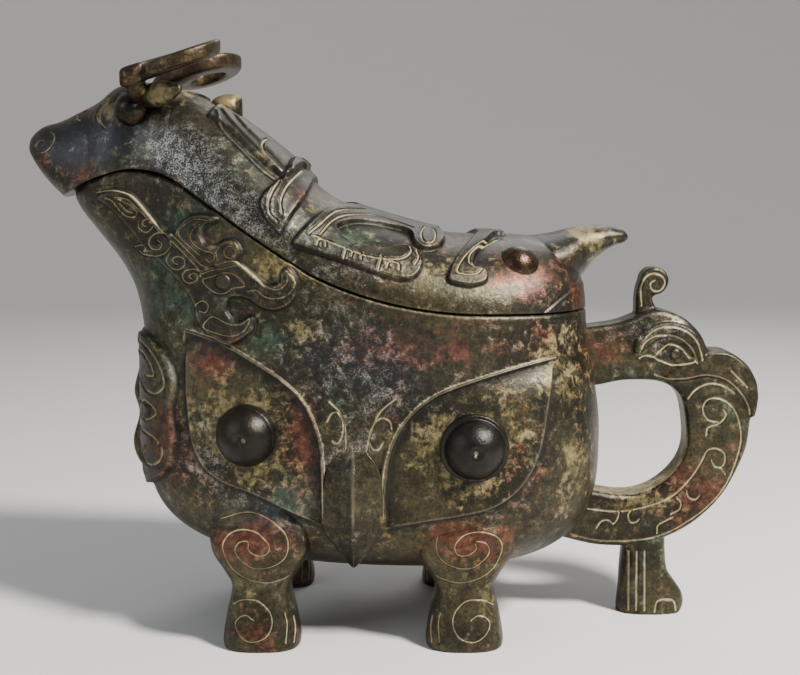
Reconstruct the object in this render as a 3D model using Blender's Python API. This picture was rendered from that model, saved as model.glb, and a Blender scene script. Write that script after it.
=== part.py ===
"""Cast bronze pouring vessel with a lid, modelled in Blender.

The vessel is an egg-shaped bowl with a spout-like neck, an owl's face on each long side, four bird
legs and a handle shaped as a bird that stands on one foot of its own. The lid is a horned animal's
head and back that lifts off, and a flange under it seats inside the vessel's mouth.

Sizes are in millimetres, and each mesh is scaled to metres when it is made. The head points to -X,
+Z is up and the ground is z = 0. One side is modelled, the near one at -Y, and then mirrored.
"""
import math

import bmesh
import bpy
from mathutils import Vector

MM = 0.001

# Vessel: plan and side profile
BODY_HALF_WIDTH = 46.0
BODY_FRONT = -89.6
BODY_REAR = 73.0
WIDEST_X = 12.0
WIDEST_Z = 68.0
BELLY_Z = 22.0
RIM_Z = 113.0
RIM_TAPER = 0.09
BELLY_ROUNDNESS = 3.2
BELLY_POLE = 0.02
PLAN_ROUNDNESS = 2.2
NECK_HALF_WIDTH = 21.0
NECK_NOSE = 22.0
WALL = 3.5

# Front of the neck, as x at each height from the breast up to the lip
NECK_FRONT = (
    (100, -89.6), (112, -91.0), (119, -92.6), (124, -94.6), (131, -98.8), (139, -104.9),
    (147, -111.0), (153, -113.8), (160, -116.5), (176, -121.0),
)
MOUTH_TOP = 176.0
MOUTH_CLEARANCE = 20.0

# Meeting line of the vessel and lid, as z at each x
SEAM = (
    (-140, 136.0), (-112, 153.8), (-97, 159.5), (-88, 160.7), (-76, 158.0), (-60, 147.5),
    (-42, 135.4), (-27, 126.2), (-9, 119.2), (9, 115.2), (28, 113.5), (100, 112.8),
)
SEAM_GAP = 0.4

# Lid: side profile, wall and the flange that seats in the vessel's mouth
LID_TOP = (
    (-129.4, 169.5), (-128.2, 172.4), (-124, 175.8), (-118, 177.6), (-111, 180.8), (-104, 184.4),
    (-97, 189.6), (-89, 191.2), (-80, 190.0), (-69, 186.6), (-60, 181.6), (-46, 171.8),
    (-35, 162.6), (-25, 153.2), (-17, 148.9), (0, 143.4), (18, 139.0), (38, 138.3),
    (50, 137.2), (58, 133.6), (63, 128.4), (65.8, 123.0), (67, 117.0),
)
HEAD_MIDDLE = ((-129.4, 168.5), (-126, 165.6), (-120, 161.2), (-113, 158.6), (-104, 157.6))
HEAD_UNDERSIDE = (
    (-129.4, 167.6), (-128.4, 165.9), (-126, 162.0), (-122.7, 157.6), (-119.3, 153.8),
    (-116.9, 151.6), (-112, 146.0), (-104, 134.0), (-92, 124.0),
)
HEAD_TIP = -129.4
HEAD_BACK = -88.0
HEAD_HALF_WIDTH = 20.0
LID_REAR = 66.9
ARCH_POWER = 0.85
HIGHEST_SHARE = 0.985
LID_DEPTH = 30.0
LID_SPACE = 9.2
LID_FRONT_STEPS = (0.0, 0.9, 3.0, 6.5, 11.0)
LID_REAR_STEPS = (10.9, 6.9, 3.4, 1.3, 0.0)
LID_WALL = 4.6
LID_CAVITY = (-106.0, 61.5)
FLANGE_DEPTH = 4.0
FLANGE_THICKNESS = 2.4
FLANGE_GAP = 1.8
FLANGE_BITE = -2.6
FLANGE_STEP = 1.3
FLANGE_POINTS = 44
LEDGE_HEIGHT = 3.6
SEAM_TRIES = 40

# Owl's face on each long side of the vessel
LEFT_PLATE = (
    (-70.4, 106.5), (-58.5, 103.0), (-48, 97.6), (-37.5, 91.0), (-31, 84.8), (-26.8, 76.5),
    (-24.6, 66.0), (-24.4, 43.0), (-32, 46.4), (-41, 50.6), (-50, 54.2), (-58, 56.8),
    (-64.5, 61.2), (-68.6, 68.5), (-70.6, 80.0), (-71.2, 94.0),
)
RIGHT_PLATE = (
    (53.2, 98.2), (39.5, 95.4), (25, 91.4), (13.8, 87.2), (6, 81.4), (0.8, 74.4),
    (-2.2, 66.0), (-3.5, 55.0), (-3.6, 42.6), (8.5, 45.4), (20, 47.4), (30.5, 49.6),
    (39, 54.2), (45.2, 61.6), (48.6, 70.0), (50.8, 82.0),
)
PLATE_CORNERS = {"left": (0, 7), "right": (0, 8)}
PLATE_SINK = 2.0
PLATE_RISE = 1.8
PLATE_TILT = 0.11
PLATE_TILT_Z = 70.0
PLATE_SEAT = 0.06
PLATE_DEPTH = 4.0
PLATE_INSET = 0.995
POCKET_REACH = 20.0
BOSS_LEFT = (-49.9, 72.7)
BOSS_RIGHT = (25.8, 69.9)
BOSS_RADIUS = 10.8
BOSS_SINK = 2.6
RIGHT_RING_RADIUS = 11.4
RIGHT_RING_HEIGHT = 1.1
BEAK_X = -14.0
BEAK_LEVELS = (
    # height, half width, ridge height over the body's side, thickness
    (84.0, 7.0, -0.3, 9.0), (72.0, 8.2, 1.2, 9.0), (60.0, 9.8, 3.4, 10.0), (50.0, 10.8, 4.8, 11.0),
    (43.0, 10.6, 5.2, 12.0), (37.0, 6.6, 4.6, 9.0), (32.0, 2.8, 3.4, 5.0), (29.6, 0.8, 2.4, 2.6),
)
BEAK_EDGE = 0.8
BEAK_ROOT_Z = 43.0

# Raised figures: a dragon on each side of the neck, and a mask on the breast
FIGURE_HEIGHT = 1.8
FIGURE_ROOT = 2.0
BOWL_SPACING = (15.0, 15.0)
LID_SPACING = (13.0, 26.0)
BREAST_SPACING = (14.0, 16.0)
DRAGON_BODY = (
    (-101, 151.4), (-96, 153.4), (-91, 153.0), (-87, 150.2), (-80.5, 143.4), (-74.2, 139.2),
    (-71.6, 142.3), (-67.5, 145.4), (-62.5, 145.9), (-58.6, 144.6), (-62.6, 142.4),
    (-64.4, 139.0), (-63, 136.0), (-59.2, 135.6), (-55.6, 137.5), (-52.4, 136.9),
    (-50.9, 133.6), (-53, 130.8), (-50.4, 129.4), (-45.3, 125.3), (-41, 122.9), (-37.6, 123.9),
    (-37, 127.2), (-34.7, 128.5), (-32.5, 125), (-32.3, 120.6), (-34.6, 117), (-39, 115),
    (-43.8, 115.6), (-47.6, 118.2), (-52.2, 119.2), (-55.2, 118), (-56.2, 114.6),
    (-54.2, 111.4), (-51, 110.6), (-47.4, 112.4), (-47, 108.4), (-52, 104.2), (-56.6, 103.4),
    (-62.8, 106.8), (-66.2, 111.6), (-66.8, 116), (-70.4, 121.8), (-75.6, 127.2),
    (-82, 132.6), (-87, 137.6), (-92, 143.6), (-97.4, 149),
)
MASK_HEIGHT = 2.4
MASK_ROOT = 1.7
MASK_PLATE = (
    # degrees round the breast from its middle line, and height
    (4.0, 103.6), (14.0, 104.4), (25.0, 102.0), (33.0, 96.0), (36.0, 88.0), (33.5, 79.5), (35.5, 71.0),
    (34.0, 62.0), (28.5, 56.6), (20.0, 53.2), (11.0, 50.8), (4.0, 50.2),
)
MASK_NOSE_LEVELS = (
    # height, half width, how far it stands out of the breast
    (105.0, 2.6, 0.6), (102.0, 3.2, 2.6), (92.0, 3.4, 2.8), (82.0, 4.0, 5.0), (74.0, 3.4, 3.4),
    (64.0, 4.4, 5.8), (57.0, 5.0, 4.4), (52.0, 3.0, 0.8),
)

# Legs: half width and depth at each height, and where they stand
LEG_LEVELS = (
    # height, half width, nearest y, farthest y
    (0.0, 13.0, 45.0, 23.0), (3.0, 13.2, 45.3, 22.6), (12.0, 11.8, 44.2, 23.6), (21.0, 10.1, 43.0, 24.2),
    (26.0, 12.0, 43.4, 22.0), (32.0, 15.2, 44.2, 17.0), (40.0, 15.5, 44.2, 13.0), (52.0, 11.5, 40.0, 14.0),
)
LEG_FRONT_X = -45.6
LEG_REAR_X = 23.4
LEG_SQUARENESS = 2.7

# Handle: a bird in the middle plane, and its foot
HANDLE_THICKNESS = 14.0
HANDLE_BEVEL = 2.2
HANDLE_OUTLINE = (
    (58, 103.5), (66, 105.3), (73, 106.3), (80, 107.6), (86, 110), (92.6, 111.8),
    (98, 110.6), (103.5, 107.9), (108.5, 102.8), (111.2, 97.2), (118, 96.8), (124.5, 92.8),
    (128.2, 87.6), (129.4, 81.5), (128.6, 75.5), (127.2, 71.6), (126.4, 63.4), (124.2, 56.6),
    (120.4, 48.6), (115, 41), (107, 33.6), (98, 28.7), (89, 26), (80, 25.4), (70, 26.2), (56, 29.8),
)
HANDLE_HOLE = (
    (58, 84.2), (70.6, 84.2), (80, 86), (89, 86.3), (95.4, 85.4), (100, 82.6), (102.6, 78.6), (104, 71),
    (104.4, 64), (103, 58), (99.2, 52.4), (93.4, 47.8), (87, 45.3), (80, 44.9), (70.6, 46.4), (58, 47.4),
)
CREST_STEM = (
    (86.4, 107.0), (85.5, 113.0), (85.9, 119.0), (88.0, 123.6), (92.0, 120.0), (91.4, 115.0), (93.5, 109.0),
)
CREST_CURL_CENTRE = (91.9, 121.7)
CREST_CURL_RADIUS = 5.0
CREST_CURL_STEP = 0.6
CREST_THICKNESS = 8.0
BROW_HEIGHT = 1.3
HANDLE_BROW = (
    (84.4, 96.4), (85.4, 102.2), (90.7, 105.8), (96.2, 107.2), (101.8, 106.2), (106.4, 103.0),
    (109.3, 97.4), (109.3, 92.2), (107.2, 91.0), (106.2, 96.4), (102.4, 100.6), (97.2, 102.4),
    (91.8, 100.8), (88, 97.6),
)
HANDLE_BEAK = (
    (95.6, 87.2), (102.2, 87.5), (109.2, 88.8), (115, 88.3), (120.4, 84.6), (124, 80), (126.6, 74.2),
    (127.6, 73.0), (128.7, 76.4), (129.0, 82), (127.6, 87.6), (123.8, 92.4), (118, 96.2), (111, 96.4),
    (106, 94), (99.6, 91),
)
BEAK_HEIGHT = 1.2
FOOT_HALF_THICKNESS = 7.0
FOOT_LEVELS = (
    # height, lowest x, highest x
    (0.0, 81.2, 104.6), (3.0, 81.2, 105.6), (7.0, 81.6, 105.0), (11.0, 81.9, 102.4),
    (16.0, 82.0, 99.3), (30.5, 83.0, 98.0),
)

# Lid's figures
HORN_CENTRE = (-72.4, -29.6, 196.7)
HORN_RISE = 0.311
HORN_FALL = 0.13
HORN_RADIUS = 15.0
HORN_INNER_RADIUS = 4.4
HORN_TURNS = 1.25
HORN_START = 182.0
HORN_WIDTH = 8.0
HORN_THICKNESS = 5.4
HORN_TIP = 0.5
HORN_STEPS = 18
HORN_ROOT = (-86.0, -12.5, 182.0)
HORN_ROOT_WIDTH = 9.0
EYE_CENTRE = (-88.8, 180.4)
EYE_RADIUS = 4.8
EAR_ROOT = (-84.5, -15.0, 184.6)
EAR_TIP = (-70.5, -32.0, 187.0)
EAR_WIDTH = 9.0
EAR_THICKNESS = 4.0
CREST_LEVELS = (
    # x, height of the top, half width
    (-67.5, 179.0, 2.0), (-65.0, 184.6, 4.6), (-61.0, 187.0, 5.0), (-56.4, 187.2, 4.2), (-54.2, 185.8, 1.6),
)
CREST_DEPTH = 10.0
WING = (
    (-33.6, 136.6), (-28.8, 142.5), (-23.4, 146.8), (-16, 147.8), (-7, 146.3), (4, 142.8), (12, 140.6),
    (16, 138.2), (15, 135.2), (10.4, 134.0), (6.2, 135.6), (4.0, 139.4), (-6.8, 142.2), (-14.6, 143.0),
    (-19.8, 141.4), (-16.8, 137.8), (-11.6, 135.6), (-4.4, 134.2), (2.4, 135.0), (7.6, 132.6), (8.2, 128.6),
    (6, 125.6), (1.6, 125.0), (-4.8, 126.8), (-18.2, 131.4),
)
REAR_BROW = (
    (17.4, 124.6), (19.2, 129.4), (22.9, 133.8), (28.6, 138.2), (34, 140.6), (37.8, 139.4), (32.4, 137.2),
    (27.6, 133.4), (25.2, 128.8), (29.6, 127.0), (29, 123.8), (23.6, 122.8),
)
LEAF = (
    (-29.6, 158.0), (-30.6, 152.4), (-34.6, 145.6), (-37.8, 140.0), (-42, 144.2), (-44.3, 149.6),
    (-42.2, 153.6), (-38.2, 157.2), (-36.6, 163.0), (-32.4, 160.8),
)
NAPE_BAND = (
    (-63.5, 178.4), (-57.0, 174.4), (-50.4, 168.2), (-43.0, 161.6), (-37.4, 157.4), (-32.8, 162.0),
    (-38.6, 167.6), (-46.4, 174.4), (-55.0, 180.4), (-61.0, 184.6),
)
REAR_EYE = (41.0, 130.6)
REAR_EYE_RADIUS = 7.2
REAR_EYE_SINK = 3.6
TAIL_LEVELS = (
    # x, middle z, half height, half width
    (44.0, 129.5, 7.6, 15.0), (54.0, 131.0, 8.0, 13.5), (61.0, 132.6, 7.8, 11.2), (66.0, 134.0, 7.4, 9.2),
    (70.0, 135.6, 5.8, 7.4), (74.0, 136.8, 4.5, 5.8), (78.0, 137.3, 3.2, 4.2), (81.0, 137.3, 2.2, 2.8),
    (82.4, 137.1, 1.0, 1.4),
)

# How finely round forms are divided
RING_POINTS = 32
HOLLOW_POINTS = 24
LID_POINTS = 24
LEG_POINTS = 10
BAR_POINTS = 6
TAIL_POINTS = 14
BAR_STEPS = 5
BODY_LEVEL_POINTS = 18
HOLLOW_LEVEL_POINTS = 11
SEAM_STEPS = 30
CURVE_STEPS = 2
PRISM_REACH = 70.0


def smooth_value(points, where):
    """Value at `where` on a smooth line through (where, value) points, straight past its ends."""
    if where <= points[0][0]:
        first, second = points[0], points[1]
        slope = (second[1] - first[1]) / (second[0] - first[0])
        return first[1] + slope * (where - first[0])
    if where >= points[-1][0]:
        return points[-1][1]
    last = len(points) - 1
    span = max(i for i in range(last) if points[i][0] <= where)

    def slope_at(index):
        low, high = max(index - 1, 0), min(index + 1, last)
        return (points[high][1] - points[low][1]) / (points[high][0] - points[low][0])

    (x0, y0), (x1, y1) = points[span], points[span + 1]
    width = x1 - x0
    t = (where - x0) / width
    blend = t * t * (3 - 2 * t)
    start = slope_at(span) * width * t * (1 - t) ** 2
    end = slope_at(span + 1) * width * t * t * (t - 1)
    return y0 + (y1 - y0) * blend + start + end


def smooth_outline(points, corners=(), steps=CURVE_STEPS):
    """Closed smooth line through points, sharp at the points whose numbers are in corners."""
    count = len(points)
    line = []
    for i in range(count):
        before, here = Vector(points[i - 1]), Vector(points[i])
        ahead, beyond = Vector(points[(i + 1) % count]), Vector(points[(i + 2) % count])
        if i in corners:
            before = 2 * here - ahead
        if (i + 1) % count in corners:
            beyond = 2 * ahead - here
        for step in range(steps):
            t = step / steps
            line.append(0.5 * (
                2 * here + (ahead - before) * t
                + (2 * before - 5 * here + 4 * ahead - beyond) * t ** 2
                + (3 * here - before - 3 * ahead + beyond) * t ** 3))
    return line


def rounded(share, power):
    """Height of a rounded end, from 1 at share 0 to 0 at share 1."""
    return max(0.0, 1.0 - min(max(share, 0.0), 1.0) ** power) ** (1.0 / power)


def belly(level, grow):
    """How full the bowl is below its widest ring."""
    if level >= WIDEST_Z:
        return 1.0
    depth = WIDEST_Z - BELLY_Z + grow
    return max(rounded((WIDEST_Z - level) / depth, BELLY_ROUNDNESS), BELLY_POLE)


def rim_taper(level):
    """How much the bowl draws in from its widest ring up to the rim."""
    share = min(max((level - WIDEST_Z) / (RIM_Z - WIDEST_Z), 0.0), 1.0)
    return 1.0 - RIM_TAPER * math.sin(share * math.pi / 2) ** 2


def front_x(level, grow):
    """Frontmost x of the vessel's ring at a height."""
    if level <= NECK_FRONT[0][0]:
        return WIDEST_X - (WIDEST_X - BODY_FRONT + grow) * belly(level, grow)
    lean = (smooth_value(NECK_FRONT, level + 1) - smooth_value(NECK_FRONT, level - 1)) / 2
    return smooth_value(NECK_FRONT, level) - grow * math.hypot(1, lean)


def rear_x(level, grow):
    """Rearmost x of the vessel's ring at a height."""
    return WIDEST_X + ((BODY_REAR - WIDEST_X) * rim_taper(level) + grow) * belly(level, grow)


def half_width(x, level, grow=0.0):
    """Half width of the vessel's ring: an egg, joined smoothly to the narrower neck."""
    fullness = belly(level, grow)
    rear = rear_x(level, grow)
    front = front_x(level, grow)
    bowl_front = WIDEST_X - (WIDEST_X - BODY_FRONT + grow) * fullness
    if x < WIDEST_X:
        share = (WIDEST_X - x) / (WIDEST_X - bowl_front)
    else:
        share = (x - WIDEST_X) / (rear - WIDEST_X)
    bowl = (BODY_HALF_WIDTH * rim_taper(level) + grow) * fullness * rounded(share, PLAN_ROUNDNESS)
    nose = (NECK_NOSE + grow) * fullness
    share = max((front + nose - x) / nose, (x - rear + nose) / nose)
    neck = (NECK_HALF_WIDTH + grow) * fullness * rounded(share, 2.0)
    return (bowl ** 4 + neck ** 4) ** 0.25


def seam_z(x):
    return smooth_value(SEAM, x)


def body_ring(level, grow, count):
    """Points of the vessel's ring at a height."""
    front, rear = front_x(level, grow), rear_x(level, grow)
    middle, half = (front + rear) / 2, (rear - front) / 2
    ring = []
    for i in range(count):
        turn = 2 * math.pi * i / count
        x = middle - half * math.cos(turn)
        y = half_width(x, level, grow)
        ring.append((x, -math.copysign(y, math.sin(turn)) if i % (count // 2) else 0.0, level))
    return ring


def body_levels(low, high, rows):
    """Heights from the belly up, closer together where the bowl rounds under.

    Below the widest ring they stretch to the given low end, and above it they are the same for all.
    """
    levels = []
    for i in range(rows + 1):
        level = BELLY_Z + (MOUTH_TOP - BELLY_Z) * (1 - math.cos(i / rows * math.pi / 2)) ** 0.9
        if level < WIDEST_Z:
            level = WIDEST_Z - (WIDEST_Z - level) * (WIDEST_Z - low) / (WIDEST_Z - BELLY_Z)
        if level < high:
            levels.append(level)
    return levels + [high]


def lid_half_width(x):
    """Half width of the lid where it meets the vessel, and of the head that overhangs it."""
    head_share = (HEAD_BACK - x) / (HEAD_BACK - HEAD_TIP)
    head = HEAD_HALF_WIDTH * max(0.0, 1 - max(head_share, 0.0) ** 1.7) ** 0.5 if x < HEAD_BACK else 0.0
    level = seam_z(x)
    vessel = half_width(x, level) if front_x(level, 0) < x < rear_x(level, 0) else 0.0
    return max(vessel, head, 0.4)


def lid_middle(x):
    """Height of the lid's widest line: the seam, or the side of the snout."""
    return smooth_value(HEAD_MIDDLE, x) if x < HEAD_MIDDLE[-1][0] else seam_z(x)


def lid_top(x):
    return smooth_value(LID_TOP, x)


def lid_bottom(x):
    """Underside of the snout, and behind it a depth below the seam that the seam's cut takes away."""
    if x < HEAD_UNDERSIDE[-1][0]:
        return smooth_value(HEAD_UNDERSIDE, x)
    return min(HEAD_UNDERSIDE[-1][1], seam_z(x) - LID_DEPTH)


def lid_ring(x, grow=0.0, shrink=1.0):
    """Points of the lid's section at x, an arch over the seam and a bowl below it."""
    half = max((lid_half_width(x) + grow) * shrink, 0.2)
    middle, top, bottom = lid_middle(x), lid_top(x) + grow, lid_bottom(x) - grow
    top = middle + (top - middle) * shrink
    bottom = middle + (bottom - middle) * shrink
    ring = []
    for i in range(LID_POINTS):
        turn = 2 * math.pi * i / LID_POINTS
        side, lift = math.cos(turn), math.sin(turn)
        y = -math.copysign(half * abs(side) ** ARCH_POWER, side) if abs(side) > 1e-6 else 0.0
        reach = (top - middle) if lift > 0 else (middle - bottom)
        ring.append((x, y, middle + reach * lift))
    return ring


def finish_mesh(name, bm, color):
    """Make an object from a bmesh in millimetres."""
    bmesh.ops.scale(bm, vec=(MM, MM, MM), verts=bm.verts)
    bmesh.ops.remove_doubles(bm, verts=bm.verts, dist=0.00001)
    bmesh.ops.dissolve_degenerate(bm, dist=0.00001, edges=bm.edges)
    bmesh.ops.recalc_face_normals(bm, faces=bm.faces)
    mesh = bpy.data.meshes.new(name)
    bm.to_mesh(mesh)
    bm.free()
    obj = bpy.data.objects.new(name, mesh)
    bpy.context.collection.objects.link(obj)
    if color is None:
        obj.hide_render = True
        obj.display_type = "WIRE"
    else:
        mesh.materials.append(color)
    return obj


def ring_solid(name, rings, color=None):
    """Closed solid through rings of points, with a flat cap on each end that isn't a point."""
    bm = bmesh.new()
    columns, rows = len(rings[0]), len(rings) - 1
    bmesh.ops.create_grid(bm, x_segments=columns, y_segments=rows, size=0.5)
    for vert in bm.verts:
        column = round((vert.co.x + 0.5) * columns) % columns
        row = round((vert.co.y + 0.5) * rows)
        vert.co = rings[row][column]
    bmesh.ops.remove_doubles(bm, verts=bm.verts, dist=0.01)
    open_edges = [edge for edge in bm.edges if edge.is_boundary]
    if open_edges:
        bmesh.ops.holes_fill(bm, edges=open_edges, sides=0)
    return finish_mesh(name, bm, color)


def prism(name, outline, low_y, high_y, bevel=0.0, color=None):
    """Outline in X and Z, drawn out along Y."""
    bm = bmesh.new()
    face = bm.faces.new([bm.verts.new((x, low_y, z)) for x, z in outline])
    drawn = bmesh.ops.extrude_face_region(bm, geom=[face])
    moved = [item for item in drawn["geom"] if isinstance(item, bmesh.types.BMVert)]
    bmesh.ops.translate(bm, vec=(0, high_y - low_y, 0), verts=moved)
    if bevel:
        rims = [edge for edge in bm.edges if abs(edge.verts[0].co.y - edge.verts[1].co.y) < 0.001]
        bmesh.ops.bevel(bm, geom=rims, offset=bevel, affect="EDGES", segments=1, profile=0.5, material=-1)
    return finish_mesh(name, bm, color)


def dome(name, centre, radius, segments=16, rings=10, stretch=(1, 1, 1)):
    """Round boss, as a whole ball of which only the outer cap shows."""
    bm = bmesh.new()
    bmesh.ops.create_uvsphere(bm, u_segments=segments, v_segments=rings, radius=radius)
    bmesh.ops.scale(bm, vec=stretch, verts=bm.verts)
    bmesh.ops.translate(bm, vec=centre, verts=bm.verts)
    return finish_mesh(name, bm, None)


def combine(target, operation, operands):
    """Add one exact Boolean of all the operands to target."""
    group = bpy.data.collections.new(f"{target.name} {operation.lower()} {len(target.modifiers)}")
    bpy.context.scene.collection.children.link(group)
    for operand in operands:
        bpy.context.collection.objects.unlink(operand)
        group.objects.link(operand)
    step = target.modifiers.new(group.name, "BOOLEAN")
    step.operation = operation
    step.operand_type = "COLLECTION"
    step.collection = group
    step.solver = "EXACT"


def on_both_sides(operand):
    """Repeat a near-side operand on the far side, where the two don't meet."""
    step = operand.modifiers.new("far side", "MIRROR")
    step.use_axis = (False, True, False)
    step.use_mirror_merge = False
    return operand


def patch(name, outline, place, top, root, spacing):
    """Solid over an outline drawn on a skin, from a root height up to a top height.

    place gives the point for the outline's two coordinates and a height over the skin.
    """
    bm = bmesh.new()
    face = bm.faces.new([bm.verts.new((u, v, 0.0)) for u, v in outline])
    bmesh.ops.triangulate(bm, faces=[face])
    for axis, step in enumerate(spacing):
        low = min(point[axis] for point in outline)
        high = max(point[axis] for point in outline)
        count = int((high - low) / step)
        normal = Vector((1 - axis, axis, 0))
        for i in range(1, count + 1):
            where = low + (high - low) * i / (count + 1)
            bmesh.ops.bisect_plane(bm, geom=bm.verts[:] + bm.edges[:] + bm.faces[:], dist=0.0001,
                                   plane_co=normal * where, plane_no=normal)
    drawn = bmesh.ops.extrude_face_region(bm, geom=bm.faces[:])
    raised = {item for item in drawn["geom"] if isinstance(item, bmesh.types.BMVert)}
    for vert in bm.verts:
        vert.co = place(vert.co.x, vert.co.y, top if vert in raised else root)
    return finish_mesh(name, bm, None)


def on_bowl(x, z, height):
    """Point on the bowl's near side, raised by a height."""
    return (x, -half_width(x, z, height), z)


def on_breast(turn, z, height):
    """Point round the bowl's front, from its middle line in degrees, raised by a height."""
    front, rear = front_x(z, height), rear_x(z, height)
    x = (front + rear) / 2 - (rear - front) / 2 * math.cos(math.radians(turn))
    return (x, -math.copysign(half_width(x, z, height), turn) if turn else 0.0, z)


def on_lid(x, turn, height):
    """Point on the lid's near side at x and a turn in degrees up from its rim, raised by a height."""
    middle = lid_middle(x)
    side, lift = math.cos(math.radians(turn)), math.sin(math.radians(turn))
    return (x, -(lid_half_width(x) + height) * side ** ARCH_POWER,
            middle + (lid_top(x) + height - middle) * lift)


def lid_turn(x, z):
    """Turn in degrees of the place on the lid at x and a height."""
    share = (z - lid_middle(x)) / (lid_top(x) - lid_middle(x))
    return math.degrees(math.asin(min(max(share, 0.0), HIGHEST_SHARE)))


def lid_figure(name, points, corners=()):
    outline = [(x, lid_turn(x, z)) for x, z in smooth_outline(points, corners, 1)]
    return on_both_sides(patch(name, outline, on_lid, FIGURE_HEIGHT, -FIGURE_ROOT, LID_SPACING))


def body_solid(name, grow, low, high, count, rows, color=None):
    """Solid of the whole bowl and neck, grown or shrunk, between two heights."""
    rings = [body_ring(level, grow, count) for level in body_levels(low, high, rows)]
    return ring_solid(name, rings, color)


def seam_prism(name, drop, top, low=0.0):
    """Block with the seam's line as one long face, drop below the seam; top None hangs it down."""
    xs = [SEAM[0][0] + (SEAM[-1][0] - SEAM[0][0]) * i / SEAM_STEPS for i in range(SEAM_STEPS + 1)]
    line = [(x, seam_z(x) - drop) for x in xs]
    if top is None:
        outline = line + [(xs[-1], low), (xs[0], low)]
    else:
        outline = line + [(xs[-1], top), (xs[0], top)]
    return prism(name, outline, -PRISM_REACH, PRISM_REACH)


def plate_tilt(inner, outer):
    """Lift of an eye plate over the bowl: sunk at its inner edge, proud at its outer and lower edges."""
    def lift(x, level):
        share = min(max((x - inner) / (outer - inner), 0.0), 1.0)
        flat = half_width(x, PLATE_TILT_Z) - half_width(x, level)
        return (flat - PLATE_SINK + (PLATE_SINK + PLATE_RISE) * share
                + PLATE_TILT * (PLATE_TILT_Z - level))
    return lift


def eye_plate(side, outline, boss, has_ring):
    """Leaf-shaped plate round one eye: the pocket cut under the brow, and the forms that stand out."""
    inner = outline[PLATE_CORNERS[side][1]][0]
    outer = outline[0][0]
    lift = plate_tilt(inner, outer)

    def on_plate(x, z, height):
        return (x, -half_width(x, z) - lift(x, z) - height, z)

    line = smooth_outline(outline, PLATE_CORNERS[side])
    pocket = patch(f"{side} plate pocket", line, on_plate, POCKET_REACH, 0.0, BOWL_SPACING)
    centre = sum(line, Vector((0, 0))) / len(line)
    inset = [centre + (point - centre) * PLATE_INSET for point in line]
    x, z = boss
    surface = half_width(x, z) + lift(x, z)
    forms = [
        patch(f"{side} plate", inset, on_plate, -PLATE_SEAT, -PLATE_DEPTH, BOWL_SPACING),
        dome(f"{side} eye", (x, -surface + BOSS_SINK, z), BOSS_RADIUS, 16, 10),
    ]
    if has_ring:
        disc = [(x + RIGHT_RING_RADIUS * math.cos(a), z + RIGHT_RING_RADIUS * math.sin(a))
                for a in (2 * math.pi * i / 20 for i in range(20))]
        forms.append(prism(f"{side} eye ring", disc, -surface - RIGHT_RING_HEIGHT, -surface + 3))
    return on_both_sides(pocket), [on_both_sides(form) for form in forms]


def make_beak():
    """Hooked beak between the eyes, a wedge with a middle ridge that ends in a free tip."""
    rings = []
    for level, half, ridge, thickness in BEAK_LEVELS:
        root = max(level, BEAK_ROOT_Z)
        front = -half_width(BEAK_X, root) - ridge
        back = front + thickness
        ring = []
        for across, share in ((-1.0, 0.0), (-0.5, 0.5), (0.0, 1.0), (0.5, 0.5), (1.0, 0.0)):
            x = BEAK_X + half * across
            edge = -half_width(x, root) - BEAK_EDGE * min(ridge, 1.0)
            ring.append((x, edge + (front - edge) * share, level))
        rings.append(ring + [(BEAK_X + half * 0.8, back, level), (BEAK_X - half * 0.8, back, level)])
    return on_both_sides(ring_solid("beak", rings))


def leg_ring(x, across, y, depth, level):
    """Ring of a leg: a rounded rectangle at a height."""
    power = 2.0 / LEG_SQUARENESS
    ring = []
    for i in range(LEG_POINTS):
        turn = 2 * math.pi * i / LEG_POINTS
        side, back = math.cos(turn), math.sin(turn)
        ring.append((x + math.copysign(across * abs(side) ** power, side),
                     y + math.copysign(depth * abs(back) ** power, back), level))
    return ring


def make_leg(name, x):
    """Bird's leg: a full thigh, a narrow ankle and a foot with a flat sole."""
    rings = [leg_ring(x, half, -(near + far) / 2, (near - far) / 2, level)
             for level, half, near, far in LEG_LEVELS]
    return on_both_sides(ring_solid(name, rings))


def breast_mask():
    """Animal mask on the breast: brows, cheeks and jaw in one plate, and a nose ridge down its middle."""
    half = smooth_outline(MASK_PLATE, (0, len(MASK_PLATE) - 1), 1)
    outline = half + [(-turn, z) for turn, z in reversed(half)]
    rings = []
    for level, half_nose, height in MASK_NOSE_LEVELS:
        front = front_x(level, 0.0)
        root, crest = front + MASK_ROOT, front - height * 0.8
        rings.append([(front - height, 0.0, level), (crest, -half_nose, level),
                      (root, -half_nose - 1.0, level), (root, half_nose + 1.0, level),
                      (crest, half_nose, level)])
    return [
        patch("mask plate", outline, on_breast, MASK_HEIGHT, -FIGURE_ROOT, BREAST_SPACING),
        ring_solid("mask nose", rings),
    ]


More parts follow.
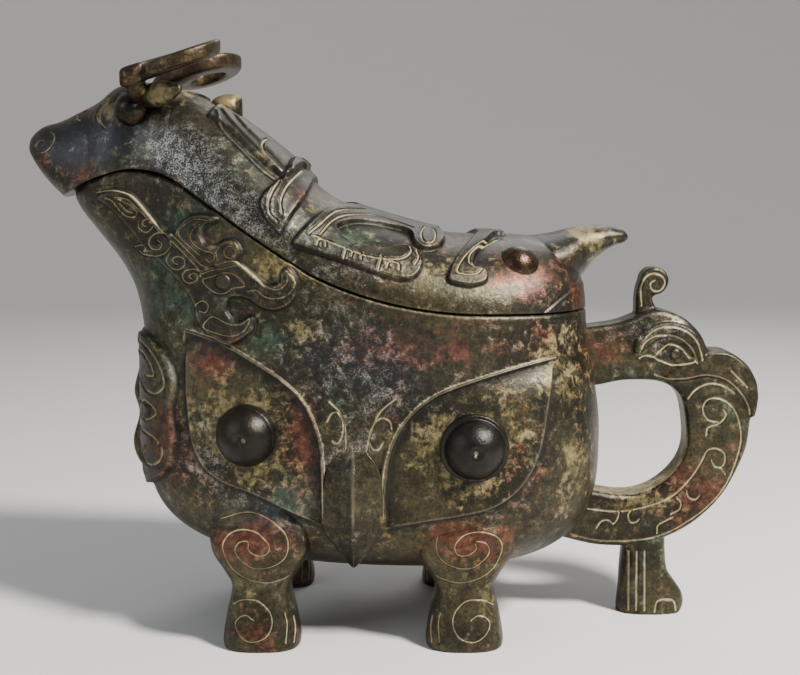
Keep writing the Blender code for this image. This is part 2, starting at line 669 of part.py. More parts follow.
def make_handle():
    """Bird in profile: crested head over a hooked beak that bites the loop, with one foot below."""
    half = HANDLE_THICKNESS / 2
    corners = (0, 9, len(HANDLE_OUTLINE) - 1)
    loop = prism("handle", smooth_outline(HANDLE_OUTLINE, corners, 1), -half, half, HANDLE_BEVEL)
    hole_line = smooth_outline(HANDLE_HOLE, (0, len(HANDLE_HOLE) - 1), 1)
    combine(loop, "DIFFERENCE", [prism("handle hole", hole_line, -half * 2, half * 2)])
    brow = prism("handle brow", smooth_outline(HANDLE_BROW, (0,), 1), -half - BROW_HEIGHT, -1)
    beak = prism("handle beak", smooth_outline(HANDLE_BEAK, (6,), 1), -half - BEAK_HEIGHT, -1)
    reach = CREST_THICKNESS / 2
    curl_x, curl_z = CREST_CURL_CENTRE
    curl = [(curl_x + CREST_CURL_RADIUS * math.cos(turn), curl_z + CREST_CURL_RADIUS * math.sin(turn))
            for turn in (2 * math.pi * i / 14 for i in range(14))]
    rings = []
    for level, low, high in FOOT_LEVELS:
        middle, across = (low + high) / 2, (high - low) / 2
        rings.append(leg_ring(middle, across, 0.0, FOOT_HALF_THICKNESS, level))
    return [
        loop, on_both_sides(brow), on_both_sides(beak),
        prism("crest stem", CREST_STEM, -reach, reach, 0.8),
        prism("crest curl", curl, -reach - CREST_CURL_STEP, reach + CREST_CURL_STEP, 0.8),
        ring_solid("handle foot", rings),
    ]


def make_vessel(color):
    """Bowl, neck, legs and handle, cast in one, hollow and open at the seam."""
    vessel = body_solid("vessel", 0.0, BELLY_Z, MOUTH_TOP, RING_POINTS, BODY_LEVEL_POINTS, color)
    left_pocket, left_forms = eye_plate("left", LEFT_PLATE, BOSS_LEFT, False)
    right_pocket, right_forms = eye_plate("right", RIGHT_PLATE, BOSS_RIGHT, True)
    dragon = patch("dragon", smooth_outline(DRAGON_BODY, (), 1), on_bowl, FIGURE_HEIGHT, -FIGURE_ROOT,
                   BOWL_SPACING)
    combine(vessel, "DIFFERENCE", [left_pocket, right_pocket])
    combine(vessel, "UNION", left_forms + right_forms + breast_mask() + make_handle() + [
        make_beak(), on_both_sides(dragon),
        make_leg("front leg", LEG_FRONT_X), make_leg("rear leg", LEG_REAR_X),
    ])
    combine(vessel, "DIFFERENCE", [
        body_solid("bowl hollow", -WALL, BELLY_Z + WALL, MOUTH_TOP + 2, HOLLOW_POINTS, HOLLOW_LEVEL_POINTS),
        seam_prism("vessel mouth", SEAM_GAP / 2, MOUTH_TOP + MOUTH_CLEARANCE),
    ])
    return vessel


def lid_stations():
    """Where the lid's sections stand, closer together at its two ends."""
    front = [HEAD_TIP + step for step in LID_FRONT_STEPS]
    rear = [LID_REAR - step for step in LID_REAR_STEPS]
    count = int((rear[0] - front[-1]) / LID_SPACE)
    middle = [front[-1] + (rear[0] - front[-1]) * i / (count + 1) for i in range(1, count + 1)]
    return front + middle + rear


def make_horn():
    """Flat coiled horn that lies over the side of the head, rising to the back."""
    rings = []
    for i in range(HORN_STEPS + 1):
        share = i / HORN_STEPS
        turn = math.radians(HORN_START - share * HORN_TURNS * 360)
        radius = HORN_RADIUS + (HORN_INNER_RADIUS - HORN_RADIUS) * share ** 1.2
        size = 1 - (1 - HORN_TIP) * share
        ring = []
        for k in range(6):
            around = math.pi / 3 * k
            out = radius + size * HORN_WIDTH / 2 * math.cos(around)
            ring.append(horn_place(out * math.cos(turn), out * math.sin(turn),
                                   size * HORN_THICKNESS / 2 * math.sin(around) * 1.15))
        rings.append(ring)
    return ring_solid("horn", rings)


def horn_place(along, across, lift):
    """Point on the horn's sloping plane, from its centre."""
    rise = HORN_RISE * along + HORN_FALL * across + lift
    return (HORN_CENTRE[0] + along, HORN_CENTRE[1] + across, HORN_CENTRE[2] + rise)


def bar(name, start, end, width, thickness):
    """Rounded bar from one place to another, thickest in the middle."""
    start, end = Vector(start), Vector(end)
    along = (end - start).normalized()
    side = along.cross(Vector((0, 0, 1))).normalized()
    up = side.cross(along)
    rings = []
    for i in range(BAR_STEPS + 1):
        share = i / BAR_STEPS
        swell = math.sin(math.pi * (0.12 + 0.82 * share)) ** 0.8
        centre = start.lerp(end, share)
        ring = []
        for k in range(BAR_POINTS):
            turn = 2 * math.pi * k / BAR_POINTS
            ring.append(tuple(centre + side * (width / 2 * swell * math.cos(turn))
                              + up * (thickness / 2 * swell * math.sin(turn))))
        rings.append(ring)
    return ring_solid(name, rings)


def head_forms():
    """Eye, ear, horn and the tuft behind the horns."""
    x, z = EYE_CENTRE
    eye = dome("eye", (x, -lid_side(x, z) + 0.6, z), EYE_RADIUS, 12, 8)
    start = math.radians(HORN_START)
    top = horn_place(HORN_RADIUS * math.cos(start), HORN_RADIUS * math.sin(start), 0.0)
    rings = []
    for x, top_z, half in CREST_LEVELS:
        rings.append([(x, -half, top_z - CREST_DEPTH), (x, -half, top_z - 2), (x, -half * 0.6, top_z),
                      (x, half * 0.6, top_z), (x, half, top_z - 2), (x, half, top_z - CREST_DEPTH)])
    return [
        on_both_sides(eye),
        on_both_sides(bar("ear", EAR_ROOT, EAR_TIP, EAR_WIDTH, EAR_THICKNESS)),
        on_both_sides(bar("horn root", HORN_ROOT, top, HORN_ROOT_WIDTH, HORN_ROOT_WIDTH)),
        on_both_sides(make_horn()),
        ring_solid("tuft", rings),
    ]


def make_tail():
    """Upturned tail in the middle plane at the rear."""
    rings = []
    for x, middle, high, wide in TAIL_LEVELS:
        turns = [2 * math.pi * i / TAIL_POINTS for i in range(TAIL_POINTS)]
        rings.append([(x, wide * math.cos(turn), middle + high * math.sin(turn)) for turn in turns])
    return ring_solid("tail", rings)


def lid_side(x, z):
    """Half width of the lid's arch at x and a height."""
    share = (z - lid_middle(x)) / (lid_top(x) - lid_middle(x))
    return lid_half_width(x) * math.sqrt(1 - share ** 2) ** ARCH_POWER


def make_flange():
    """Band inside the lid's rim that drops into the vessel's mouth and keeps the lid in place.

    Its upper part reaches into the lid's wall, and its lower part hangs clear of the vessel's wall.
    """
    outer = -(WALL + FLANGE_GAP)
    inner = outer - FLANGE_THICKNESS
    section = (
        (outer, -FLANGE_DEPTH), (outer, FLANGE_STEP), (FLANGE_BITE, FLANGE_STEP + 0.4),
        (FLANGE_BITE, LEDGE_HEIGHT), (inner, LEDGE_HEIGHT + 0.6), (inner, -FLANGE_DEPTH),
    )
    rings = []
    for i in range(FLANGE_POINTS):
        turn = 2 * math.pi * i / FLANGE_POINTS
        rings.append([seam_point(turn, grow, rise) for grow, rise in section])
    return ring_solid("flange", rings + [rings[0]])


def seam_point(turn, grow, rise):
    """Point on the vessel's grown skin at a rise over the seam, round the ring by a turn."""
    level = RIM_Z
    for _ in range(SEAM_TRIES):
        front, rear = front_x(level, grow), rear_x(level, grow)
        x = (front + rear) / 2 - (rear - front) / 2 * math.cos(turn)
        level += (seam_z(x) + rise - level) / 2
    y = half_width(x, level, grow)
    return (x, -math.copysign(y, math.sin(turn)) if abs(math.sin(turn)) > 1e-6 else 0.0, level)


def make_lid(color):
    """Horned head, neck and back over the vessel's mouth, with a tail at the rear."""
    lid = ring_solid("lid", [lid_ring(x) for x in lid_stations()], color)
    x, z = REAR_EYE
    sunk = REAR_EYE_SINK * math.sqrt(0.5)
    rear_eye = dome("rear eye", (x, -lid_side(x, z) + sunk, z - sunk), REAR_EYE_RADIUS, 14, 8)
    combine(lid, "UNION", head_forms() + [
        lid_figure("wing", WING, (0,)),
        lid_figure("rear brow", REAR_BROW),
        lid_figure("leaf", LEAF, (3, 8)),
        lid_figure("nape band", NAPE_BAND, (0, 4, 5, 9)),
        on_both_sides(rear_eye), make_tail(),
    ])
    low, high = LID_CAVITY
    rings = []
    for i in range(HOLLOW_LEVEL_POINTS + 1):
        share = i / HOLLOW_LEVEL_POINTS
        x = low + (high - low) * (1 - math.cos(math.pi * share)) / 2
        rings.append(lid_ring(x, -LID_WALL, rounded(abs(2 * share - 1), 5.0)))
    combine(lid, "DIFFERENCE", [
        ring_solid("lid hollow", rings), seam_prism("lid rim", -SEAM_GAP / 2, None),
    ])
    combine(lid, "UNION", [make_flange()])
    return lid


def bronze(name, rgb, roughness):
    """Principled material for old cast bronze."""
    material = bpy.data.materials.new(name)
    material.use_nodes = True
    shader = material.node_tree.nodes["Principled BSDF"]
    shader.inputs["Base Color"].default_value = (*rgb, 1.0)
    shader.inputs["Roughness"].default_value = roughness
    shader.inputs["Metallic"].default_value = 0.6
    return material


def main():
    for obj in list(bpy.data.objects):
        bpy.data.objects.remove(obj)
    make_vessel(bronze("vessel bronze", (0.16, 0.13, 0.09), 0.5))
    make_lid(bronze("lid bronze", (0.19, 0.15, 0.11), 0.45))


main()
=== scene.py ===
"""Looks of a lidded bronze pouring vessel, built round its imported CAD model.

Shapes are worked out in millimetres, and each piece is scaled to metres when it is finished. The
animal's head points to -X, +Z is up and the ground is z = 0. Figures and lines are drawn in x and z
on the near side, and every one is repeated on the far side.
"""

import math

import bmesh
import bpy
import numpy as np
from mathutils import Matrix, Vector


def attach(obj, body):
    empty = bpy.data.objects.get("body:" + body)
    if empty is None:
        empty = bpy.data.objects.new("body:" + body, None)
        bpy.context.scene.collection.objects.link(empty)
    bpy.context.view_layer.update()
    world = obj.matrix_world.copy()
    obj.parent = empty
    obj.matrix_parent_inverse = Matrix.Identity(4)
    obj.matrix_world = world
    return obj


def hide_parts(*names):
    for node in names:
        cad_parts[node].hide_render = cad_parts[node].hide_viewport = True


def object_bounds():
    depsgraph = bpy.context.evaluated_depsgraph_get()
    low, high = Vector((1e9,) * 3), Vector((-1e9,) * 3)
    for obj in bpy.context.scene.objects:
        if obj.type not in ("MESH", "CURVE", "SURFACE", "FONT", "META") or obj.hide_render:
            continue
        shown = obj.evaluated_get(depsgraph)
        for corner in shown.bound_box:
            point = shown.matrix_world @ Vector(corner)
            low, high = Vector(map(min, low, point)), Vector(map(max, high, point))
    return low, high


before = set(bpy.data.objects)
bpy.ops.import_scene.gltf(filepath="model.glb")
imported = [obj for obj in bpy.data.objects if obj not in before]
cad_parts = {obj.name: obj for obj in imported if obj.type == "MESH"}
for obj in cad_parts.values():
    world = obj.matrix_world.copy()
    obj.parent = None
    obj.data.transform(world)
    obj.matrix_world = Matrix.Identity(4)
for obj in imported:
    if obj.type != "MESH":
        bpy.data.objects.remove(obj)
CAD_BOX = [list(corner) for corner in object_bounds()]

MM = 0.001

# Vessel: plan and side profile
BODY_HALF_WIDTH = 46.0
BODY_FRONT = -89.6
BODY_REAR = 73.0
WIDEST_X = 12.0
WIDEST_Z = 68.0
BELLY_Z = 22.0
RIM_Z = 113.0
RIM_TAPER = 0.09
BELLY_ROUNDNESS = 3.2
PLAN_ROUNDNESS = 2.2
NECK_HALF_WIDTH = 21.0
NECK_NOSE = 22.0
NECK_BLEND = 4
WALL = 3.5
NECK_FRONT = (
    (100, -89.6), (112, -91.0), (119, -92.6), (124, -94.6), (131, -98.8), (139, -104.9),
    (147, -111.0), (153, -113.8), (160, -116.5), (176, -121.0),
)
SEAM = (
    (-140, 136.0), (-112, 153.8), (-97, 159.5), (-88, 160.7), (-76, 158.0), (-60, 147.5),
    (-42, 135.4), (-27, 126.2), (-9, 119.2), (9, 115.2), (28, 113.5), (100, 112.8),
)
SEAM_GAP = 0.4
SEAM_ROUNDS = 40
LEAST_FULLNESS = 1e-4
BELLY_SHARE = 0.52
RIM_SHARE = 0.05
OUTER_ROWS = 0.80
BOWL_GRID = (176, 116)
BOWL_MIDDLE = (0, 0, 70)

# Lid: side profile and wall
LID_TOP = (
    (-129.4, 169.5), (-128.2, 172.4), (-124, 175.8), (-118, 177.6), (-111, 180.8), (-104, 184.4),
    (-97, 189.6), (-89, 191.2), (-80, 190.0), (-69, 186.6), (-60, 181.6), (-46, 171.8),
    (-35, 162.6), (-25, 153.2), (-17, 148.9), (0, 143.4), (18, 139.0), (38, 138.3),
    (50, 137.2), (58, 133.6), (63, 128.4), (65.8, 123.0), (67, 117.0),
)
HEAD_MIDDLE = ((-129.4, 168.5), (-126, 165.6), (-120, 161.2), (-113, 158.6), (-104, 157.6))
HEAD_UNDERSIDE = (
    (-129.4, 167.6), (-128.4, 165.9), (-126, 162.0), (-122.7, 157.6), (-119.3, 153.8),
    (-116.9, 151.6), (-112, 146.0), (-104, 134.0), (-92, 124.0),
)
HEAD_TIP = -129.4
HEAD_BACK = -88.0
HEAD_HALF_WIDTH = 20.0
HEAD_POWER = 1.7
LID_REAR = 66.9
LID_LEAST_HALF = 0.4
LID_UNDER = 30
ARCH_POWER = 0.85
LID_WALL = 4.6
LID_CAVITY = (-106.0, 61.5)
LID_CAVITY_ROUNDNESS = 5.0
LID_RIM_BAND = 0.06
FLANGE_GAP = 1.8
FLANGE_WALL = 2.4
LID_GRID = (164, 220)
OUTER_COLUMNS = 0.78
LID_SCALE = 0.6
RIDGE_SHARE = 0.985
CROWN_SHARES = (0.955, 0.98)

# Owl's face on each long side
PLATES = {
    "left": (
        (-70.4, 106.5), (-58.5, 103.0), (-48, 97.6), (-37.5, 91.0), (-31, 84.8), (-26.8, 76.5),
        (-24.6, 66.0), (-24.4, 43.0), (-32, 46.4), (-41, 50.6), (-50, 54.2), (-58, 56.8),
        (-64.5, 61.2), (-68.6, 68.5), (-70.6, 80.0), (-71.2, 94.0),
    ),
    "right": (
        (53.2, 98.2), (39.5, 95.4), (25, 91.4), (13.8, 87.2), (6, 81.4), (0.8, 74.4),
        (-2.2, 66.0), (-3.5, 55.0), (-3.6, 42.6), (8.5, 45.4), (20, 47.4), (30.5, 49.6),
        (39, 54.2), (45.2, 61.6), (48.6, 70.0), (50.8, 82.0),
    ),
}
PLATE_CORNERS = {"left": (0, 7), "right": (0, 8)}
PLATE_SINK = 2.0
PLATE_RISE = 2.3
PLATE_TILT = 0.11
PLATE_TILT_Z = 70.0
BROW_DEPTH = 0.9
BROW_REACH = 6.0
BROW_MOST = 3.4

# Marks, layers and meshes
ON_PLANE = 1e-6
MARK_MARGIN = 3.0
HOLLOW_GAIN = 2.5
HOLLOW_ROUNDS = 2
BAR_STEPS = 30
BAR_SIDES = 28
ZONE_SOFTNESS = 0.8
WELD = 0.02
BALL_SIDES = 48


def smooth_value(points, where):
    """Value at each place on a smooth line through (place, value) points, straight past its start."""
    xs = np.array([point[0] for point in points], float)
    ys = np.array([point[1] for point in points], float)
    where = np.asarray(where, float)
    last = len(xs) - 1
    order = np.arange(last + 1)
    low, high = np.maximum(order - 1, 0), np.minimum(order + 1, last)
    slope = (ys[high] - ys[low]) / (xs[high] - xs[low])
    span = np.clip(np.searchsorted(xs, where, side="right") - 1, 0, last - 1)
    width = xs[span + 1] - xs[span]
    t = np.clip((where - xs[span]) / width, 0.0, 1.0)
    blend = t * t * (3 - 2 * t)
    value = (ys[span] + (ys[span + 1] - ys[span]) * blend
             + slope[span] * width * t * (1 - t) ** 2 + slope[span + 1] * width * t * t * (t - 1))
    first = ys[0] + (ys[1] - ys[0]) / (xs[1] - xs[0]) * (where - xs[0])
    return np.where(where <= xs[0], first, value)


def smooth_line(points, corners, steps, closed=True):
    """Smooth line through points, sharp at the points whose numbers are in corners."""
    count = len(points)
    ends = () if closed else (0, count - 1)
    corners = tuple(corners) + ends
    line = []
    for i in range(count if closed else count - 1):
        before, here = np.array(points[i - 1], float), np.array(points[i], float)
        ahead, beyond = np.array(points[(i + 1) % count], float), np.array(points[(i + 2) % count], float)
        if i in corners:
            before = 2 * here - ahead
        if (i + 1) % count in corners:
            beyond = 2 * ahead - here
        for step in range(steps):
            t = step / steps
            line.append(0.5 * (
                2 * here + (ahead - before) * t
                + (2 * before - 5 * here + 4 * ahead - beyond) * t ** 2
                + (3 * here - before - 3 * ahead + beyond) * t ** 3))
    if not closed:
        line.append(np.array(points[-1], float))
    return np.array(line)


def smooth_step(value, low, high):
    t = np.clip((value - low) / (high - low), 0.0, 1.0)
    return t * t * (3 - 2 * t)


def rounded(share, power):
    """Height of a rounded end, from 1 at share 0 to 0 at share 1."""
    return np.maximum(0.0, 1.0 - np.clip(share, 0.0, 1.0) ** power) ** (1.0 / power)


def belly(level, grow):
    """How full the bowl is below its widest ring."""
    depth = WIDEST_Z - BELLY_Z + grow
    fullness = np.maximum(rounded((WIDEST_Z - level) / depth, BELLY_ROUNDNESS), LEAST_FULLNESS)
    return np.where(level >= WIDEST_Z, 1.0, fullness)


def rim_taper(level):
    share = np.clip((level - WIDEST_Z) / (RIM_Z - WIDEST_Z), 0.0, 1.0)
    return 1.0 - RIM_TAPER * np.sin(share * math.pi / 2) ** 2


def front_x(level, grow):
    """Frontmost x of the vessel's ring at a height."""
    lean = (smooth_value(NECK_FRONT, level + 1) - smooth_value(NECK_FRONT, level - 1)) / 2
    neck = smooth_value(NECK_FRONT, level) - grow * np.hypot(1, lean)
    bowl = WIDEST_X - (WIDEST_X - BODY_FRONT + grow) * belly(level, grow)
    return np.where(level <= NECK_FRONT[0][0], bowl, neck)


def rear_x(level, grow):
    return WIDEST_X + ((BODY_REAR - WIDEST_X) * rim_taper(level) + grow) * belly(level, grow)


def half_width(x, level, grow=0.0):
    """Half width of the vessel's ring: an egg, joined smoothly to the narrower neck."""
    fullness = belly(level, grow)
    rear, front = rear_x(level, grow), front_x(level, grow)
    bowl_front = WIDEST_X - (WIDEST_X - BODY_FRONT + grow) * fullness
    ahead, behind = (WIDEST_X - x) / (WIDEST_X - bowl_front), (x - WIDEST_X) / (rear - WIDEST_X)
    share = np.where(x < WIDEST_X, ahead, behind)
    bowl = (BODY_HALF_WIDTH * rim_taper(level) + grow) * fullness * rounded(share, PLAN_ROUNDNESS)
    nose = (NECK_NOSE + grow) * fullness
    share = np.maximum((front + nose - x) / nose, (x - rear + nose) / nose)
    neck = (NECK_HALF_WIDTH + grow) * fullness * rounded(share, 2.0)
    return (bowl ** NECK_BLEND + neck ** NECK_BLEND) ** (1 / NECK_BLEND)


def seam_z(x):
    return smooth_value(SEAM, x)


def ring_x(turn, level, grow):
    """x of the vessel's ring at a height, by a turn that starts at its front."""
    front, rear = front_x(level, grow), rear_x(level, grow)
    return (front + rear) / 2 - (rear - front) / 2 * np.cos(turn)


def ring_side(turn):
    """Side of the middle plane that a turn lies on: 1, -1, or 0 on the plane itself."""
    side = np.sin(turn)
    return np.where(np.abs(side) < ON_PLANE, 0.0, np.sign(side))


def seam_level(turn, grow, rise):
    """Height of the seam, plus a rise, round the vessel's ring by a turn."""
    level = np.full(np.shape(turn), RIM_Z)
    for _ in range(SEAM_ROUNDS):
        level = level + (seam_z(ring_x(turn, level, grow)) + rise - level) / 2
    return level


def lid_half_width(x):
    head_share = np.maximum((HEAD_BACK - x) / (HEAD_BACK - HEAD_TIP), 0.0)
    head = HEAD_HALF_WIDTH * np.sqrt(np.maximum(0.0, 1 - head_share ** HEAD_POWER))
    head = np.where(x < HEAD_BACK, head, 0.0)
    level = seam_z(x)
    inside = (front_x(level, 0.0) < x) & (x < rear_x(level, 0.0))
    vessel = np.where(inside, half_width(x, level), 0.0)
    return np.maximum(np.maximum(vessel, head), LID_LEAST_HALF)


def lid_middle(x):
    return np.where(x < HEAD_MIDDLE[-1][0], smooth_value(HEAD_MIDDLE, x), seam_z(x))


def lid_top(x):
    return smooth_value(LID_TOP, x)


def lid_bottom(x):
    behind = np.minimum(HEAD_UNDERSIDE[-1][1], seam_z(x) - LID_UNDER)
    return np.where(x < HEAD_UNDERSIDE[-1][0], smooth_value(HEAD_UNDERSIDE, x), behind)


def arch_share(x, z):
    """How far up the lid's arch a place is: 0 at its foot and 1 at the ridge."""
    return (z - lid_middle(x)) / (lid_top(x) - lid_middle(x))


def lid_side(x, z):
    """Half width of the lid at a place on its arch."""
    return float(lid_half_width(x) * math.sqrt(1 - arch_share(x, z) ** 2) ** ARCH_POWER)


def plate_lift(side, x, z):
    """Lift of an eye plate over the bowl: sunk at its inner edge, proud at its outer and lower edges."""
    outline = PLATES[side]
    inner, outer = outline[PLATE_CORNERS[side][1]][0], outline[0][0]
    share = np.clip((x - inner) / (outer - inner), 0.0, 1.0)
    flat = half_width(x, PLATE_TILT_Z) - half_width(x, z)
    return flat - PLATE_SINK + (PLATE_SINK + PLATE_RISE) * share + PLATE_TILT * (PLATE_TILT_Z - z)


def hill(away, width):
    """1 at no distance, and falling smoothly to nothing at about twice the width."""
    return np.exp(-(away / width) ** 2)


# Lines and figures drawn on the near side, in x and z

class Figure:
    """Raised or sunk area inside a closed line, with a soft edge."""

    closed = True

    def __init__(self, outline, height, edge=0.7, dark=0.0):
        self.line = np.asarray(outline, float)
        self.height, self.edge, self.dark = height, edge, dark

    def reach(self):
        return self.edge


class Stroke:
    """Line cut into the skin, filled with pale earth, or raised over it where its depth is negative."""

    def __init__(self, points, width, depth, fill, smooth=True, closed=False):
        self.line = smooth_line(points, (), 5, closed) if smooth else np.array(points, float)
        self.width, self.depth, self.fill, self.closed = width, depth, fill, closed

    def reach(self):
        return self.width


def line_distance(points, line, closed):
    """Distance from each (x, z) point to a line."""
    starts = line if closed else line[:-1]
    ends = np.roll(line, -1, 0) if closed else line[1:]
    best = np.full(len(points), np.inf)
    for start, end in zip(starts, ends):
        way = end - start
        share = np.clip(((points - start) @ way) / (way @ way + 1e-12), 0, 1)
        off = points - start - share[:, None] * way
        best = np.minimum(best, off[:, 0] ** 2 + off[:, 1] ** 2)
    return np.sqrt(best)


def within(points, outline):
    """Whether each (x, z) point lies inside a closed line."""
    x, z = points[:, 0], points[:, 1]
    hit = np.zeros(len(points), bool)
    for (x0, z0), (x1, z1) in zip(outline, np.roll(outline, -1, 0)):
        crosses = (z0 > z) != (z1 > z)
        hit ^= crosses & (x < (x1 - x0) * (z - z0) / (z1 - z0 + 1e-12) + x0)
    return hit


def signed_distance(points, line):
    """Distance from each (x, z) point to a closed line, above 0 inside it."""
    away = line_distance(points, line, True)
    return np.where(within(points, line), away, -away)


def near_line(points, line, margin):
    """Numbers of the points that lie in a line's box, grown by a margin."""
    low, high = line.min(0) - margin, line.max(0) + margin
    return np.nonzero(((points > low) & (points < high)).all(1))[0]


def figure_heights(points, mark):
    """Rise, pale edge and dark foot that a figure gives each (x, z) point: worn along its edge, with painted
    shade at its foot and its own dark share inside.
    """
    signed = signed_distance(points, mark.line)
    rise = smooth_step(signed, -mark.edge, mark.edge * 0.4) * mark.height
    crest = hill(signed - mark.edge * 0.8, 0.45) * 0.5
    # Painted shade at the foot of the figure
    foot = hill(signed + mark.edge * 0.9, 0.6) * min(mark.height, 1.0)
    return rise, crest, np.maximum(foot, smooth_step(signed, 0.2, 1.2) * mark.dark)


def mark_heights(points, marks):
    """Height, pale fill, worn and painted-highlight edges, and darkening that is mostly painted shade, that
    the marks give each (x, z) point.
    """
    height, fill, wear_and_highlight, dirt_and_shade = (np.zeros(len(points)) for _ in range(4))
    for mark in marks:
        chosen = near_line(points, mark.line, MARK_MARGIN)
        if not len(chosen):
            continue
        if isinstance(mark, Figure):
            rise, crest, foot = figure_heights(points[chosen], mark)
            height[chosen] += rise
            wear_and_highlight[chosen] = np.maximum(wear_and_highlight[chosen], crest)
            dirt_and_shade[chosen] = np.maximum(dirt_and_shade[chosen], foot)
            continue
        away = line_distance(points[chosen], mark.line, mark.closed)
        bed = hill(away, mark.width * 0.55)
        height[chosen] -= bed * mark.depth
        if mark.depth > 0:
            fill[chosen] = np.maximum(fill[chosen], bed * mark.fill)
            height[chosen] += 0.45 * mark.depth * hill(away - mark.width * 1.15, mark.width * 0.45)
        else:
            # A raised line: pale along its crest, partly worn and partly painted highlight, with painted
            # shade along both sides
            wear_and_highlight[chosen] = np.maximum(wear_and_highlight[chosen], bed)
            side = hill(away - mark.width * 1.1, mark.width * 0.5)
            dirt_and_shade[chosen] = np.maximum(dirt_and_shade[chosen], side * 0.8 * (1 - mark.fill))
    return height, fill, wear_and_highlight, dirt_and_shade


# Colour zones: x, z, half length in x and in z, and strength of each
VESSEL_ZONES = {
    "ochre": (
        (-49.9, 72.7, 15, 15, 1.25), (25.8, 69.9, 15, 15, 1.1), (-22, 50, 5, 9, 0.6), (-4, 44, 3, 9, 0.7),
        (55, 92, 10, 16, 0.8), (62, 62, 9, 14, 0.7), (-36, 128, 10, 7, 0.9), (-50, 22, 8, 5, 0.6),
        (-32, 110, 12, 6, 0.6), (28, 21, 8, 5, 0.5), (90, 42, 14, 5, 0.8), (-84, 92, 4, 14, 0.5),
    ),
    "brick": (
        (-60, 98, 10, 7, 0.9), (-31, 74, 5, 14, 1.0), (-48, 38, 14, 7, 0.9), (24, 38, 14, 7, 0.9),
        (-80, 72, 8, 12, 0.9), (2, 104, 22, 7, 0.8), (-72, 62, 10, 10, 0.7), (2, 78, 5, 8, 0.5),
        (-62, 138, 16, 4, 0.5), (40, 60, 8, 10, 0.5), (72, 98, 10, 7, 0.9), (108, 45, 14, 12, 0.6),
        (-46, 8, 10, 8, 0.3), (48, 104, 10, 5, 0.6),
    ),
    "green": (
        (-78, 118, 14, 16, 0.8), (-70, 140, 10, 8, 0.7), (-76, 92, 5, 14, 0.8), (-56, 116, 9, 9, 0.5),
        (-34, 54, 9, 9, 0.7), (-18, 88, 8, 14, 0.5), (-42, 106, 10, 6, 0.6), (-17, 64, 5, 7, 0.6),
        (86, 90, 14, 6, 0.4), (95, 20, 12, 12, 0.5), (-58, 20, 8, 8, 0.4),
    ),
    # Painted sheen: pale grey speckle where the bronze catches the light
    "painted_sheen": (
        (-14, 98, 18, 20, 0.85), (-64, 62, 9, 14, 0.7), (-14, 72, 8, 16, 0.9), (-50, 52, 12, 5, 0.7),
        (24, 94, 22, 6, 0.5), (-14, 46, 4, 14, 0.6), (-30, 100, 12, 8, 0.6), (98, 104, 12, 6, 0.5),
        (42, 56, 7, 10, 0.5),
    ),
    # Painted bluish sheen
    "painted_blue_sheen": ((-90, 90, 3, 12, 0.6), (-6, 98, 26, 12, 0.5), (-40, 48, 12, 5, 0.7)),
}
LID_ZONES = {
    "ochre": (
        (66, 136, 9, 6, 0.9), (-52, 178, 10, 5, 0.6), (-78, 186, 9, 6, 1.0), (-60, 186, 7, 5, 1.0),
        (8, 128, 24, 4, 0.7), (-44, 164, 6, 6, 0.5), (-98, 182, 5, 6, 1.0), (-24, 148, 8, 3, 0.5),
    ),
    "brick": (
        (44, 126, 18, 9, 0.75), (20, 138, 14, 5, 0.6), (-108, 162, 8, 6, 0.6), (-124, 160, 5, 7, 0.9),
        (-108, 180, 8, 4, 0.6), (-28, 154, 10, 4, 0.7), (62, 118, 6, 8, 0.9), (-72, 200, 24, 6, 0.4),
    ),
    "green": (
        (-50, 160, 7, 9, 0.8), (-12, 138, 12, 4, 1.0), (-30, 138, 6, 8, 0.7), (18, 124, 12, 6, 0.5),
        (-88, 166, 14, 8, 0.3), (56, 136, 8, 5, 0.4),
    ),
    # Painted sheen along the lid's neck, where the bronze catches the light
    "painted_sheen": (
        (-74, 168, 8, 9, 1.7), (-66, 161, 8, 9, 1.9), (-57, 153, 8, 8, 1.9), (-47, 146, 8, 7, 1.7),
        (-36, 139, 8, 5, 1.3), (-20, 128, 16, 5, 0.9), (20, 118, 24, 4, 0.5), (-36, 140, 9, 8, 0.8),
    ),
    # Painted bluish sheen on the snout
    "painted_blue_sheen": ((-104, 172, 14, 9, 1.0), (-86, 172, 12, 8, 0.6), (-118, 170, 8, 6, 0.6)),
}


def zone_strength(places, blobs):
    """How strongly each place shows a colour zone made of blobs."""
    strength = np.zeros(len(places))
    for x, z, reach_x, reach_z, weight in blobs:
        away = ((places[:, 0] - x) / reach_x) ** 2 + ((places[:, 2] - z) / reach_z) ** 2
        strength = np.maximum(strength, weight * np.exp(-away * ZONE_SOFTNESS))
    return strength


# Mesh making

def grid(columns, rows):
    """Flat unit grid to be mapped on to a surface."""
    bm = bmesh.new()
    bmesh.ops.create_grid(bm, x_segments=columns, y_segments=rows, size=0.5)
    bmesh.ops.translate(bm, vec=(0.5, 0.5, 0), verts=bm.verts)
    return bm


def edge_ends(bm):
    """Numbers of the two points of each edge."""
    bm.verts.index_update()
    return np.array([(edge.verts[0].index, edge.verts[1].index) for edge in bm.edges])


